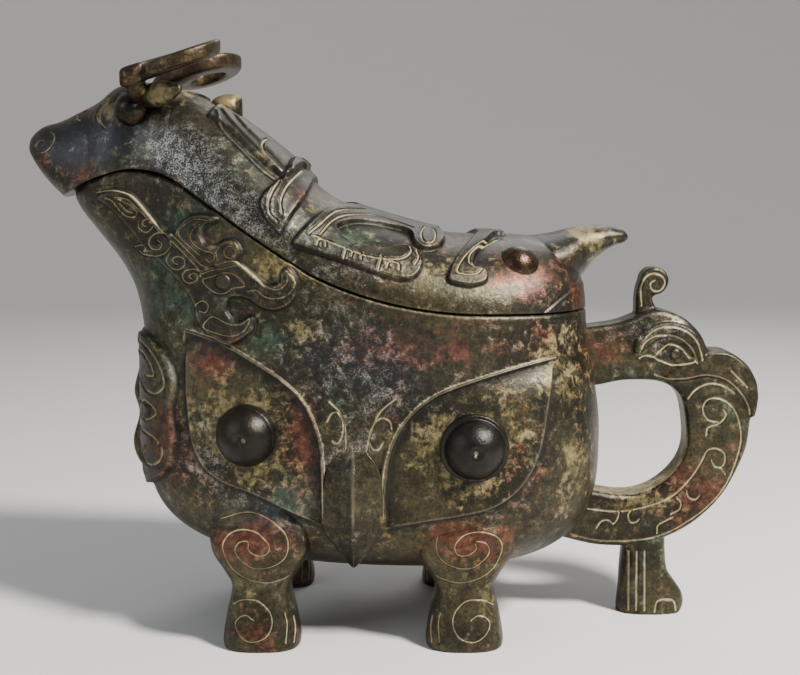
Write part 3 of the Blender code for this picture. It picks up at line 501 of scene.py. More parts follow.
def split_edges(bm, marks, longest, passes, place=None, fold=None, free=None, margin=2.0, slack=0.5):
    """Split the edges that are long and lie near a mark.

    place maps the points of a flat grid to the piece, fold maps the middles of its edges to the marks'
    own drawing, and free says which edges may be split by the flat places of their ends.
    """
    for _ in range(passes):
        flat = get_places(bm)
        mapped = place(flat[:, 0], flat[:, 1]) if place else flat
        ends = edge_ends(bm)
        length = np.linalg.norm(mapped[ends[:, 0]] - mapped[ends[:, 1]], axis=1)
        middle = mapped[ends].mean(1)
        middle = fold(flat[ends].mean(1), middle) if fold else middle[:, (0, 2)]
        may_split = length > longest
        if free:
            may_split &= free(flat[ends])
        split = np.zeros(len(ends), bool)
        for mark in marks:
            chosen = near_line(middle, mark.line, margin)
            chosen = chosen[may_split[chosen]]
            if len(chosen):
                away = line_distance(middle[chosen], mark.line, mark.closed)
                split[chosen] |= away < mark.reach() + length[chosen] * slack
        edges = [edge for edge, chosen in zip(bm.edges, split) if chosen]
        if edges:
            bmesh.ops.subdivide_edges(bm, edges=edges, cuts=1, use_grid_fill=True)


def set_places(bm, places):
    for vert, place in zip(bm.verts, places):
        vert.co = place


def get_places(bm):
    return np.array([vert.co[:] for vert in bm.verts])


def vertex_normals(bm):
    bm.normal_update()
    return np.array([vert.normal[:] for vert in bm.verts])


def put_layer(bm, name, values):
    layer = bm.verts.layers.float.new(name)
    for vert, value in zip(bm.verts, values):
        vert[layer] = value


def loft(rings):
    """Closed mesh through rings of points, with a flat cap on each end that isn't a point."""
    columns, rows = len(rings[0]), len(rings) - 1
    bm = grid(columns, rows)
    for vert in bm.verts:
        column = round(vert.co.x * columns) % columns
        row = round(vert.co.y * rows)
        vert.co = rings[row][column]
    bmesh.ops.remove_doubles(bm, verts=bm.verts, dist=0.004)
    ends = [edge for edge in bm.edges if edge.is_boundary]
    if ends:
        bmesh.ops.holes_fill(bm, edges=ends, sides=0)
    bmesh.ops.recalc_face_normals(bm, faces=bm.faces)
    return bm


def prism(outline, half, bevel):
    """Outline in X and Z, drawn out to both sides along Y, with its rims bevelled."""
    bm = bmesh.new()
    face = bm.faces.new([bm.verts.new((x, -half, z)) for x, z in outline])
    drawn = bmesh.ops.extrude_face_region(bm, geom=[face])
    moved = [item for item in drawn["geom"] if isinstance(item, bmesh.types.BMVert)]
    bmesh.ops.translate(bm, vec=(0, 2 * half, 0), verts=moved)
    rims = [edge for edge in bm.edges if abs(edge.verts[0].co.y - edge.verts[1].co.y) < 0.001]
    bmesh.ops.bevel(bm, geom=rims, offset=bevel, affect="EDGES", segments=3, profile=0.5, material=-1)
    bmesh.ops.recalc_face_normals(bm, faces=bm.faces)
    return bm


def ball(centre, radius):
    bm = bmesh.new()
    bmesh.ops.create_uvsphere(bm, u_segments=BALL_SIDES, v_segments=BALL_SIDES // 2, radius=radius)
    bmesh.ops.translate(bm, vec=centre, verts=bm.verts)
    return bm


def gather(parts, mirrored=False):
    """One bmesh of several, with a copy of each on the far side if mirrored."""
    whole = bmesh.new()
    for part in parts:
        mesh = bpy.data.meshes.new("part")
        part.to_mesh(mesh)
        whole.from_mesh(mesh)
        if mirrored:
            bmesh.ops.scale(part, vec=(1, -1, 1), verts=part.verts)
            bmesh.ops.reverse_faces(part, faces=part.faces)
            part.to_mesh(mesh)
            whole.from_mesh(mesh)
        part.free()
        bpy.data.meshes.remove(mesh)
    return whole


def add_object(name, data):
    thing = bpy.data.objects.new(name, data)
    bpy.context.scene.collection.objects.link(thing)
    return thing


def cast(bm, voxel):
    """Run the parts of a bmesh together as one casting, with soft joins."""
    mesh = bpy.data.meshes.new("cast")
    bm.to_mesh(mesh)
    bm.free()
    holder = add_object("cast", mesh)
    skin = holder.modifiers.new("skin", "REMESH")
    skin.mode = "VOXEL"
    skin.voxel_size = voxel
    view = bpy.context.evaluated_depsgraph_get()
    whole = bpy.data.meshes.new_from_object(holder.evaluated_get(view))
    bpy.data.objects.remove(holder)
    bpy.data.meshes.remove(mesh)
    out = bmesh.new()
    out.from_mesh(whole)
    bpy.data.meshes.remove(whole)
    soften(out)
    return out


def neighbour_sum(ends, values):
    """Sum of the values of each point's neighbours."""
    return (np.bincount(ends[:, 0], values[ends[:, 1]], len(values))
            + np.bincount(ends[:, 1], values[ends[:, 0]], len(values)))


def soften(bm):
    """Even out a mesh without shrinking it: each round pulls the points in and then pushes them out."""
    ends = edge_ends(bm)
    places = get_places(bm)
    count = np.bincount(ends.ravel(), minlength=len(places))[:, None]
    for _ in range(CAST_ROUNDS):
        for pull in (0.5, -0.53):
            total = np.stack([neighbour_sum(ends, places[:, k]) for k in range(3)], 1)
            places = places + pull * (total / count - places)
    set_places(bm, places)


def hollows(bm):
    """How sunk (+) or proud (-) each point is among its neighbours, as an angle-like number."""
    ends = edge_ends(bm)
    places, normals = get_places(bm), vertex_normals(bm)
    way = places[ends[:, 1]] - places[ends[:, 0]]
    length = np.linalg.norm(way, axis=1) + 1e-9
    out = (way * normals[ends[:, 0]]).sum(1) / length
    back = -(way * normals[ends[:, 1]]).sum(1) / length
    count = np.bincount(ends.ravel(), minlength=len(places))
    value = np.bincount(ends[:, 0], out, len(places)) + np.bincount(ends[:, 1], back, len(places))
    value = value / count
    for _ in range(HOLLOW_ROUNDS):
        value = 0.5 * value + 0.5 * neighbour_sum(ends, value) / count
    return value


def finish_piece(name, bm, node, slot, material, fill=None, wear_and_highlight=None, dirt_and_shade=None, zoned=1.0):
    """Object of a bmesh in millimetres, with its layers for filled lines, worn edges with painted highlights,
    darkening with painted shade, and colour zones.
    """
    count = len(bm.verts)
    places = np.clip(get_places(bm), np.array(CAD_BOX[0]) / MM, np.array(CAD_BOX[1]) / MM)
    set_places(bm, places)
    for layer, values in (("fill", fill), ("wear_and_highlight", wear_and_highlight), ("dirt_and_shade", dirt_and_shade)):
        put_layer(bm, layer, np.zeros(count) if values is None else values)
    put_layer(bm, "hollow", np.clip(hollows(bm) * HOLLOW_GAIN, -1, 1))
    for zone, blobs in (VESSEL_ZONES if node == "vessel" else LID_ZONES).items():
        put_layer(bm, zone, zone_strength(places, blobs) * zoned)
    bmesh.ops.scale(bm, vec=(MM, MM, MM), verts=bm.verts)
    mesh = bpy.data.meshes.new(name)
    bm.to_mesh(mesh)
    bm.free()
    mesh.polygons.foreach_set("use_smooth", [True] * len(mesh.polygons))
    mesh.materials.append(material)
    piece = add_object(name, mesh)
    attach(piece, "root")
    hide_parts(node)


# Materials

class Shade:
    """Wraps a shader socket, so that sums of masks are written as plain expressions."""

    def __init__(self, tree, socket):
        self.tree, self.socket = tree, socket

    def math(self, operation, *values):
        node = self.tree.nodes.new("ShaderNodeMath")
        node.operation = operation
        for i, value in enumerate(values):
            if isinstance(value, Shade):
                self.tree.links.new(value.socket, node.inputs[i])
            else:
                node.inputs[i].default_value = value
        return Shade(self.tree, node.outputs[0])

    def __add__(self, other):
        return self.math("ADD", self, other)

    def __radd__(self, other):
        return self.math("ADD", other, self)

    def __sub__(self, other):
        return self.math("SUBTRACT", self, other)

    def __rsub__(self, other):
        return self.math("SUBTRACT", other, self)

    def __mul__(self, other):
        return self.math("MULTIPLY", self, other)

    def __rmul__(self, other):
        return self.math("MULTIPLY", other, self)

    def between(self, low, high):
        """0 below low, 1 above high, and smooth between them."""
        node = self.tree.nodes.new("ShaderNodeMapRange")
        node.interpolation_type = "SMOOTHSTEP"
        node.inputs["From Min"].default_value = low
        node.inputs["From Max"].default_value = high
        self.tree.links.new(self.socket, node.inputs["Value"])
        return Shade(self.tree, node.outputs["Result"])


class Finish:
    """A material in the making: its node tree, and one way to add nodes to it."""

    def __init__(self, name):
        self.material = bpy.data.materials.new(name)
        self.material.use_nodes = True
        self.tree = self.material.node_tree
        self.shader = self.tree.nodes["Principled BSDF"]
        self.place = self.node("ShaderNodeTexCoord", {}, {}, "Object")

    def node(self, kind, settings, inputs, output):
        """Output of a new node with its settings and inputs given by name."""
        node = self.tree.nodes.new(kind)
        for key, value in settings.items():
            setattr(node, key, value)
        for key, value in inputs.items():
            if isinstance(value, Shade):
                self.tree.links.new(value.socket, node.inputs[key])
            else:
                node.inputs[key].default_value = value
        return Shade(self.tree, node.outputs[output])

    def noise(self, size_mm, detail, roughness, distortion, shift):
        """Noise in 0..1 whose patches are about size_mm across."""
        place = self.node("ShaderNodeMapping", {}, {
            "Vector": self.place, "Location": (shift, shift * 0.7, shift * 1.3)}, 0)
        return self.node("ShaderNodeTexNoise", {}, {
            "Vector": place, "Scale": 1 / MM / size_mm, "Detail": detail, "Roughness": roughness,
            "Distortion": distortion}, "Fac")

    def layer(self, name):
        return self.node("ShaderNodeAttribute", {"attribute_name": name}, {}, "Fac")

    def mix(self, factor, first, second):
        """First colour where the factor is 0, and second where it is 1."""
        node = self.tree.nodes.new("ShaderNodeMix")
        node.data_type = "RGBA"
        for key, value in ((MIX_FACTOR, factor), (MIX_FIRST, first), (MIX_SECOND, second)):
            if isinstance(value, Shade):
                self.tree.links.new(value.socket, node.inputs[key])
            else:
                node.inputs[key].default_value = (*value, 1.0)
        return Shade(self.tree, node.outputs[MIX_RESULT])

    def set(self, socket, value):
        self.tree.links.new(value.socket, self.shader.inputs[socket])

    def bump(self, height):
        self.set("Normal", self.node("ShaderNodeBump", {}, {
            "Height": height, "Distance": BUMP_MM * MM, "Strength": 1.0}, 0))


# Numbers of the colour sockets of a mix node
MIX_FACTOR, MIX_FIRST, MIX_SECOND, MIX_RESULT = 0, 6, 7, 2

CREAM = (0.40, 0.36, 0.25)
OCHRE = (0.25, 0.195, 0.080)
BRICK = (0.085, 0.020, 0.013)
RUST = (0.125, 0.050, 0.026)
GREEN = (0.036, 0.060, 0.036)
MALACHITE = (0.135, 0.185, 0.105)
OLIVE = (0.082, 0.070, 0.036)
DARK = (0.011, 0.010, 0.008)
WARM = (0.100, 0.052, 0.026)
# Grey of the painted sheen and glints
PAINTED_SHEEN = (0.38, 0.38, 0.37)
# Bluish grey of the painted sheen
PAINTED_BLUE_SHEEN = (0.060, 0.066, 0.090)
# Pale colour of worn edges and of painted highlights
PALE_WEAR_AND_HIGHLIGHT = (0.26, 0.23, 0.165)

# Noise fields: size of a patch in mm, detail, roughness, distortion and shift
FIELDS = {
    "broad": (34, 5.0, 0.62, 0.5, 0.0),
    "blotch": (11, 8.0, 0.72, 0.5, 0.31),
    "cloud": (19, 7.0, 0.70, 0.9, 2.9),
    "speck": (3.2, 6.0, 0.78, 0.3, 0.67),
    "grain": (0.55, 2.0, 0.7, 0.0, 0.11),
    "fleck": (1.1, 4.0, 0.8, 0.0, 5.1),
    "ochre": (15, 7.0, 0.72, 0.6, 4.3),
    "painted_sheen": (24, 6.0, 0.7, 0.3, 7.7),
}
# Level of the noise at which a patch starts, and how far a full share lowers it
PATCH_LEVEL = 0.66
PATCH_GAIN = 0.12
BUMP_MM = 0.16


def patina(name, base, brick, green, ochre, painted_sheen, shine, painted_blue_sheen=0.0):
    """Old cast bronze: a dark skin with brick, green and ochre patches, worn edges and filled lines, with
    painted light on top: a painted sheen and glints, painted highlights along crests, and painted shade in
    hollows and crevices.

    Each share says how much of a patch colour the piece shows beyond the zones painted on it.
    """
    finish = Finish(name)
    fields = {field: finish.noise(*numbers) for field, numbers in FIELDS.items()}
    broad, blotch, cloud = fields["broad"], fields["blotch"], fields["cloud"]
    speck, grain, fleck = fields["speck"], fields["grain"], fields["fleck"]
    fill, wear_and_highlight, hollow, dirt_and_shade = (finish.layer(layer) for layer in ("fill", "wear_and_highlight", "hollow", "dirt_and_shade"))

    def patch(zone, field, share, spread):
        level = fields[field] * 0.48 + speck * 0.52 + finish.layer(zone) * 0.15
        middle = PATCH_LEVEL - PATCH_GAIN * share
        return level.between(middle - spread, middle + spread)

    brick_mask = patch("brick", "blotch", brick, 0.055)
    green_mask = patch("green", "cloud", green, 0.06)
    ochre_mask = patch("ochre", "ochre", ochre, 0.07)
    painted_sheen_mask = patch("painted_sheen", "painted_sheen", painted_sheen, 0.10)
    color = finish.mix((broad * 0.5 + speck * 0.5).between(0.42, 0.62), base, OLIVE)
    color = finish.mix((cloud * 0.4 + speck * 0.6).between(0.52, 0.64) * 0.6, color, WARM)
    color = finish.mix(fleck.between(0.47, 0.62) * 0.6, color, DARK)
    greens = finish.mix(speck.between(0.52, 0.70) * 0.75, GREEN, MALACHITE)
    color = finish.mix(green_mask * 0.85, color, greens)
    color = finish.mix(brick_mask * 0.88, color, finish.mix(speck.between(0.42, 0.64), BRICK, RUST))
    color = finish.mix(ochre_mask * 0.80 * (speck * 0.9 + 0.45).between(0.2, 1.0), color, OCHRE)
    # Painted bluish sheen where its zones lie
    if painted_blue_sheen:
        color = finish.mix(finish.layer("painted_blue_sheen") * painted_blue_sheen, color, PAINTED_BLUE_SHEEN)
    # Painted glints: pale grey speckle in the sheen zones
    glint = painted_sheen_mask * (grain * 0.6 + speck * 0.4).between(0.46, 0.62)
    color = finish.mix(glint * 0.7, color, PAINTED_SHEEN)
    # Pale on worn edges and crests, partly real and partly a painted highlight
    edge = (wear_and_highlight * 0.75 + (0.0 - hollow).between(0.3, 0.95) * 0.35) * (grain * 0.7 + 0.45)
    color = finish.mix(edge.between(0.1, 0.9) * 0.65, color, PALE_WEAR_AND_HIGHLIGHT)
    # Painted shade: darker in the hollows and where the darkening layer is high
    color = finish.mix((dirt_and_shade + hollow.between(0.35, 0.9) * 0.4).between(0.05, 0.9) * 0.85, color, DARK)
    filled = (fill * (speck * 0.7 + 0.65)).between(0.30, 0.75)
    color = finish.mix(filled * 0.92, color, finish.mix(speck.between(0.4, 0.7), OCHRE, CREAM))
    finish.set("Base Color", color)
    matt = (brick_mask * 0.35 + green_mask * 0.4 + ochre_mask * 0.5 + dirt_and_shade * 0.4).between(0.0, 1.0)
    finish.set("Metallic", (0.82 - matt * 0.55) * (1.0 - filled * 0.9))
    rough = 0.40 - shine * 0.16 + matt * 0.24 + fleck * 0.12 + grain * 0.10 + filled * 0.2
    finish.set("Roughness", rough - glint * 0.10)
    finish.bump(grain * 0.35 + speck * 0.9 + blotch * 0.5 + fleck * 0.5)
    return finish.material


# Vessel bowl and neck

PLATE_STEPS = 8
PLATE_LINES = {side: smooth_line(plate, PLATE_CORNERS[side], PLATE_STEPS) for side, plate in PLATES.items()}
BROW_LINES = {side: line[:PLATE_STEPS * PLATE_CORNERS[side][1]] for side, line in PLATE_LINES.items()}


def bowl_place(column, row):
    """Point of the vessel's skin: row 0 is under the belly, 1 the outer rim, and 2 inside at the floor."""
    turn = column * 2 * math.pi
    inner = row > 1 + RIM_SHARE
    across = np.clip((row - 1) / RIM_SHARE, 0.0, 1.0)
    grow = -WALL * across
    drop = SEAM_GAP / 2 + 0.5 * np.abs(2 * across - 1) ** 5
    share = np.where(inner, (2 - row) / (1 - RIM_SHARE), np.minimum(row, 1.0))
    top = seam_level(turn, grow, -drop)
    low = np.clip(share / BELLY_SHARE, 0.0, 1.0)
    depth = WIDEST_Z - BELLY_Z + grow
    under = WIDEST_Z - depth * np.cos(low * math.pi / 2) ** (2 / BELLY_ROUNDNESS)
    high = np.clip((share - BELLY_SHARE) / (1 - BELLY_SHARE), 0.0, 1.0)
    level = np.where(share < BELLY_SHARE, under, WIDEST_Z + (top - WIDEST_Z) * high)
    x = ring_x(turn, level, grow)
    return np.stack([x, -half_width(x, level, grow) * ring_side(turn), level], -1)


# Lines and figures on the vessel

# Width, depth and pale fill of the lines; a line with a depth below 0 is raised
BROW_STROKE = (0.8, -0.8, 0.4)
DRAGON_STROKE = (0.5, 0.5, 0.9)
NOSE_STROKE = (0.55, 0.4, 1.0)
RIB_STROKE = (1.1, -0.9, 0.3)
MASK_STROKE = (0.8, 0.6, 0.8)
LEG_STROKE = (0.42, 0.28, 0.85)
HANDLE_STROKE = (0.62, 0.4, 1.0)
FOOT_STROKE = (0.9, 0.35, 0.8)
LID_STROKE = (0.55, 0.45, 0.9)
NAPE_STROKE = (1.0, -0.8, 0.0)
CHEEK_STROKE = (0.9, 0.4, 0.2)
DRAGON_BODY = (
    (-101, 151.4), (-96, 153.4), (-91, 153.0), (-87, 150.2), (-80.5, 143.4), (-74.2, 139.2),
    (-71.6, 142.3), (-67.5, 145.4), (-62.5, 145.9), (-58.6, 144.6), (-62.6, 142.4),
    (-64.4, 139.0), (-63, 136.0), (-59.2, 135.6), (-55.6, 137.5), (-52.4, 136.9),
    (-50.9, 133.6), (-53, 130.8), (-50.4, 129.4), (-45.3, 125.3), (-41, 122.9), (-37.6, 123.9),
    (-37, 127.2), (-34.7, 128.5), (-32.5, 125), (-32.3, 120.6), (-34.6, 117), (-39, 115),
    (-43.8, 115.6), (-47.6, 118.2), (-52.2, 119.2), (-55.2, 118), (-56.2, 114.6),
    (-54.2, 111.4), (-51, 110.6), (-47.4, 112.4), (-47, 108.4), (-52, 104.2), (-56.6, 103.4),
    (-62.8, 106.8), (-66.2, 111.6), (-66.8, 116), (-70.4, 121.8), (-75.6, 127.2),
    (-82, 132.6), (-87, 137.6), (-92, 143.6), (-97.4, 149),
)
DRAGON_LINES = (
    ((-102, 153), (-96, 153.8), (-90.6, 152.6), (-86.9, 150), (-83.1, 145.9), (-78.6, 141.2),
     (-74.8, 137.4), (-69.8, 132.7), (-64.8, 127.5), (-64.2, 125.4)),
    ((-94.7, 151.5), (-90.7, 150.8), (-87.6, 148.4), (-83.1, 144.3), (-78.6, 140)),
    ((-98.2, 151.5), (-95.7, 150.3), (-93.3, 147.3), (-90.9, 145.2), (-88, 144.9), (-87.1, 146.4),
     (-88.2, 147.9), (-91.4, 149.7), (-94.1, 151.4)),
    ((-93.2, 149.4), (-90.8, 147), (-88.8, 146.2)),
    ((-86.5, 143.6), (-86.4, 141.3), (-83.6, 139.7), (-81.1, 141.7), (-81.9, 143.7), (-84.4, 143.8),
     (-85.1, 142.3), (-83.7, 141.6)),
    ((-87.8, 133), (-85.4, 131.9), (-80.8, 131.7), (-76.8, 132.9), (-74.7, 135.6), (-75.7, 138.5),
     (-78.6, 139.7), (-81.6, 138.4), (-82.7, 136), (-81.4, 134.2), (-78.8, 134.2), (-78, 136), (-79.5, 137)),
    ((-75.2, 132.9), (-76.4, 130.5), (-75.1, 128.4), (-72.7, 127.4), (-70.2, 128.6), (-69.9, 130.8),
     (-71.7, 131.8), (-73.8, 131.3), (-73.8, 129.8), (-72.3, 129.2)),
    ((-64.5, 126.9), (-66.4, 127.8), (-69.6, 127.1), (-70.7, 125), (-69, 123.1), (-66.1, 123.8),
     (-65.3, 125.6), (-67, 126.4), (-68.3, 125.3), (-67.4, 124.5)),
    ((-89.4, 134.5), (-86.6, 135.2), (-85.3, 134.3), (-86, 133.1), (-84, 133.4)),
    ((-61.3, 143.9), (-66, 144.4), (-69.5, 142.5), (-71.7, 140.1), (-71.1, 138), (-67.8, 135.1),
     (-64.6, 132.4)),
    ((-63.9, 142.9), (-66.7, 140.8), (-67.6, 138.1), (-66.2, 135.8), (-62.8, 133.9), (-60, 133.2),
     (-59.4, 131.3), (-61.1, 130.3), (-62.3, 131.2)),
    ((-74.4, 139.2), (-71.3, 136.3), (-66.9, 132.2), (-64.1, 129.2), (-60.4, 128.3), (-58.4, 130.6),
     (-58.8, 133.5), (-57.8, 135.3)),
    ((-64.1, 126.2), (-60.4, 127.5), (-56.1, 128.3), (-52.1, 129.4)),
    ((-63.2, 127.6), (-59.8, 128.7), (-56.7, 130.1), (-53, 130.8)),
    ((-52.4, 130.6), (-49.4, 128.6), (-45.8, 125.6), (-41.7, 122.4), (-38.1, 121.7), (-35.4, 123.7),
     (-35.1, 126), (-36.3, 127.5)),
    ((-48.6, 120.8), (-45.3, 121.3), (-42.6, 119.2), (-38.8, 118.7), (-35.2, 119.9), (-32.8, 122.8),
     (-33.1, 125.7), (-35.1, 128)),
    ((-67.2, 113.9), (-66, 116.1), (-63.6, 117.3), (-61.8, 115.6), (-62.8, 113.5), (-64.9, 113.8)),
)
DRAGON_RINGS = (
    ((-56, 134.2), (-54.9, 135.5), (-52.9, 135.4), (-52, 133.7), (-53.3, 131.9), (-55.4, 132.1)),
    ((-63.6, 124.3), (-61.8, 121.7), (-58.7, 120), (-55.6, 120.2), (-53.2, 121.8), (-49.4, 122.6),
     (-50.7, 124.9), (-53.1, 126.5), (-56.7, 126.8), (-60.5, 125.4)),
    ((-63.7, 108.5), (-60.5, 112.1), (-55.3, 109.9), (-50.6, 109.9), (-47.8, 111.9), (-48.3, 109.8),
     (-50.6, 107), (-54.6, 105.8), (-59.3, 106.6)),
)
DRAGON_PUPIL = (-56.6, 123.9, 2.3)
NOSE_LINES = (
    ((-21.7, 85.4), (-18.7, 82.4), (-16.8, 78.1), (-16.2, 73.7), (-16.4, 67.7)),
    ((0.1, 86.4), (-5.1, 81.9), (-7.8, 75.9), (-9.2, 70.8), (-10.2, 67)),
    ((-22.5, 78.6), (-20.9, 81.3), (-18.7, 81.5), (-17.3, 78.8), (-17.4, 74.4), (-19, 71.5), (-20.8, 72.4)),
    ((-1.2, 76.7), (-2, 79.3), (-4.8, 80), (-7.4, 77.4), (-8.7, 73), (-7.4, 70), (-5.5, 69.8), (-4, 72.1)),
)
BEAK_RIBS = (
    ((-24.0, 66.4), (-24.0, 59.3), (-23.9, 51.8), (-23.6, 44)),
    ((-2.6, 68.6), (-4.2, 62), (-4.4, 55.2), (-4.3, 46.6)),
)

# Breast mask, in degrees round the breast and height
MASK_PLATE = (
    (4.0, 103.6), (14.0, 104.4), (25.0, 102.0), (33.0, 96.0), (36.0, 88.0), (33.5, 79.5), (35.5, 71.0),
    (34.0, 62.0), (28.5, 56.6), (20.0, 53.2), (11.0, 50.8), (4.0, 50.2),
)
MASK_LINES = (
    ((9, 101.5), (18, 101.0), (26, 97.5), (30.5, 92.5), (31.5, 87.5), (27, 84.5), (20, 85.0), (13, 88.0)),
    ((11, 97.5), (18, 97.5), (24, 94.0), (25.5, 90.5), (20, 90.0)),
    ((12, 80.0), (20, 81.0), (27, 78.0), (20, 74.5), (12, 75.5)),
    ((8, 70.5), (16, 70.0), (25, 69.0), (30, 65.5), (27, 60.5), (19, 59.0), (14, 61.5), (19, 64.5)),
    ((8, 66.0), (13, 60.0), (12, 55.0)),
)
MASK_EYE = (19.5, 77.8, 2.6)
MASK_HEIGHT = 2.4
MASK_SCALE = 0.75
MASK_NOSE_SINK = 1.6
MASK_NOSE_HEIGHTS = np.arange(105.0, 51.9, -0.8)
MASK_NOSE_LEVELS = (
    (105.0, 2.6, 0.6), (102.0, 3.2, 2.6), (92.0, 3.4, 2.8), (82.0, 4.0, 5.0), (74.0, 3.4, 3.4),
    (64.0, 4.4, 5.8), (57.0, 5.0, 4.4), (52.0, 3.0, 0.8),
)

# Owl's eyes and beak
BOSS_LEFT = (-49.9, 72.7)
BOSS_RIGHT = (25.8, 69.9)
BOSS_RADIUS = 10.75
BOSS_SINK = 2.6
BOSS_LEAN_REACH = 4.0
BOSS_STEPS = 46
GROOVE_DEPTH = 0.28
GROOVE_PLACE = 0.27
GROOVE_WIDTH = 0.018
DIMPLE_DEPTH = 1.3
DIMPLE_RADIUS = 1.5
RIGHT_RING_RADIUS = 11.4
RIGHT_RING_HEIGHT = 1.1
BEAK_X = -14.0
BEAK_LEVELS = (
    (71.0, 2.5, -1.2, 7.0), (68.0, 5.0, 0.4, 8.0), (64.0, 8.0, 2.2, 9.0), (60.0, 9.4, 3.6, 10.0),
    (50.0, 10.8, 5.2, 11.0), (43.0, 10.6, 5.4, 12.0), (37.0, 6.8, 4.8, 9.0), (32.0, 3.0, 3.4, 5.0),
    (29.6, 0.8, 2.4, 2.6),
)
BEAK_HEIGHTS = np.arange(71.0, 29.4, -0.6)
BEAK_EDGE = 0.8
BEAK_ROOT_Z = 43.0

# Legs
LEG_LEVELS = (
    (0.0, 13.0, 45.0, 23.0), (3.0, 13.2, 45.3, 22.6), (12.0, 11.8, 44.2, 23.6), (21.0, 10.1, 43.0, 24.2),
    (26.0, 12.6, 43.4, 22.0), (32.0, 16.4, 44.2, 22.0), (38.0, 17.4, 44.2, 24.0), (42.0, 17.2, 43.6, 26.0),
    (46.0, 15.8, 42.4, 28.0), (50.0, 13.5, 41.0, 30.0),
)
LEG_SINK = 2.4
LEG_PROUD_LEVELS = (30.0, 36.0, 42.0, 50.0)
LEG_PROUD = (40.0, 13.0, 4.4, -0.8)
LEG_FOOT = 0.6
LEG_HEIGHTS = np.concatenate([[0.0, 0.25, 0.6], np.arange(1.2, 50.1, 0.8)])
LEG_FRONT_X = -45.6
LEG_REAR_X = 23.4
LEG_SQUARENESS = 2.7
THIGH_A = (
    (-59.2, 44.0), (-49.6, 46.9), (-41.9, 45.0), (-37.0, 41.2), (-35.7, 36.1), (-37.4, 31.7), (-42.0, 29.2),
    (-47.3, 28.9), (-51.8, 32.0), (-53.4, 35.0), (-52.1, 37.7), (-49.4, 38.3), (-48.7, 37.5),
)
THIGH_B = (
    (-48.7, 37.7), (-48.9, 35.6), (-46.8, 33.8), (-44.1, 33.4), (-42.2, 34.8), (-42.2, 37.5), (-45.6, 40.6),
    (-51.0, 41.4), (-55.4, 40.0), (-57.6, 36.9), (-57.2, 33.1), (-54.5, 28.1), (-49.7, 25.1), (-43.6, 23.7),
    (-37.6, 24.7), (-35.8, 25.4),
)
FOOT_SPIRAL = (
    (-54.8, 15.6), (-51.4, 17.7), (-46.0, 17.6), (-42.1, 13.8), (-41.4, 9.3), (-43.6, 5.4), (-48.3, 3.9),
    (-52.2, 5.9), (-53.9, 9.4), (-52.2, 12.0), (-49.8, 12.7), (-47.4, 11.2),
)
TOE_A = ((-37.1, 13.0), (-36.4, 9.0), (-36.8, 3.2))
TOE_B = ((-34.4, 11.0), (-33.8, 7.0), (-34.2, 2.4))

# Handle
HANDLE_OUTLINE = (
    (58, 103.5), (66, 105.3), (73, 106.3), (80, 107.6), (86, 110), (92.6, 111.8),
    (98, 110.6), (103.5, 107.9), (108.5, 102.8), (111.2, 97.2), (118, 96.8), (124.5, 92.8),
    (128.2, 87.6), (129.4, 81.5), (128.6, 75.5), (127.2, 71.6), (126.4, 63.4), (124.2, 56.6),
    (120.4, 48.6), (115, 41), (107, 33.6), (98, 28.7), (89, 26), (80, 25.4), (70, 26.2), (56, 29.8),
)
HANDLE_HOLE = (
    (58, 84.2), (70.6, 84.2), (80, 86), (89, 86.3), (95.4, 85.4), (100, 82.6), (102.6, 78.6), (104, 71),
    (104.4, 64), (103, 58), (99.2, 52.4), (93.4, 47.8), (87, 45.3), (80, 44.9), (70.6, 46.4), (58, 47.4),
)
HANDLE_HALF = 7.0
HANDLE_BEVEL = 2.6
BROW_PROUD = 1.3
BEAK_PROUD = 1.2
HOLE_RIM = 1.6
HOLE_TOP = 66
FOOT_SQUARENESS = 0.74
FOOT_HEIGHTS = np.concatenate([[0.0, 0.3], np.arange(1.0, 30.6, 1.0)])
HANDLE_VOXEL = 0.62
HORN_VOXEL = 0.5
CAST_ROUNDS = 3
CREST_STEM = (
    (86.4, 107.0), (85.5, 113.0), (85.9, 119.0), (88.0, 123.6), (92.0, 120.0), (91.4, 115.0), (93.5, 109.0),
)
CREST_CURL_CENTRE = (91.9, 121.7)
CREST_CURL_RADIUS = 5.0
CREST_HALF = 4.0
HANDLE_BROW = (
    (84.4, 96.4), (85.4, 102.2), (90.7, 105.8), (96.2, 107.2), (101.8, 106.2), (106.4, 103.0),
    (109.3, 97.4), (109.3, 92.2), (107.2, 91.0), (106.2, 96.4), (102.4, 100.6), (97.2, 102.4),
    (91.8, 100.8), (88, 97.6),
)
HANDLE_BEAK = (
    (95.6, 87.2), (102.2, 87.5), (109.2, 88.8), (115, 88.3), (120.4, 84.6), (124, 80), (126.6, 74.2),
    (127.6, 73.0), (128.7, 76.4), (129.0, 82), (127.6, 87.6), (123.8, 92.4), (118, 96.2), (111, 96.4),
    (106, 94), (99.6, 91),
)
FOOT_LEVELS = (
    (0.0, 81.2, 104.6), (3.0, 81.2, 105.6), (7.0, 81.6, 105.0), (11.0, 81.9, 102.4),
    (16.0, 82.0, 99.3), (30.5, 83.0, 98.0),
)
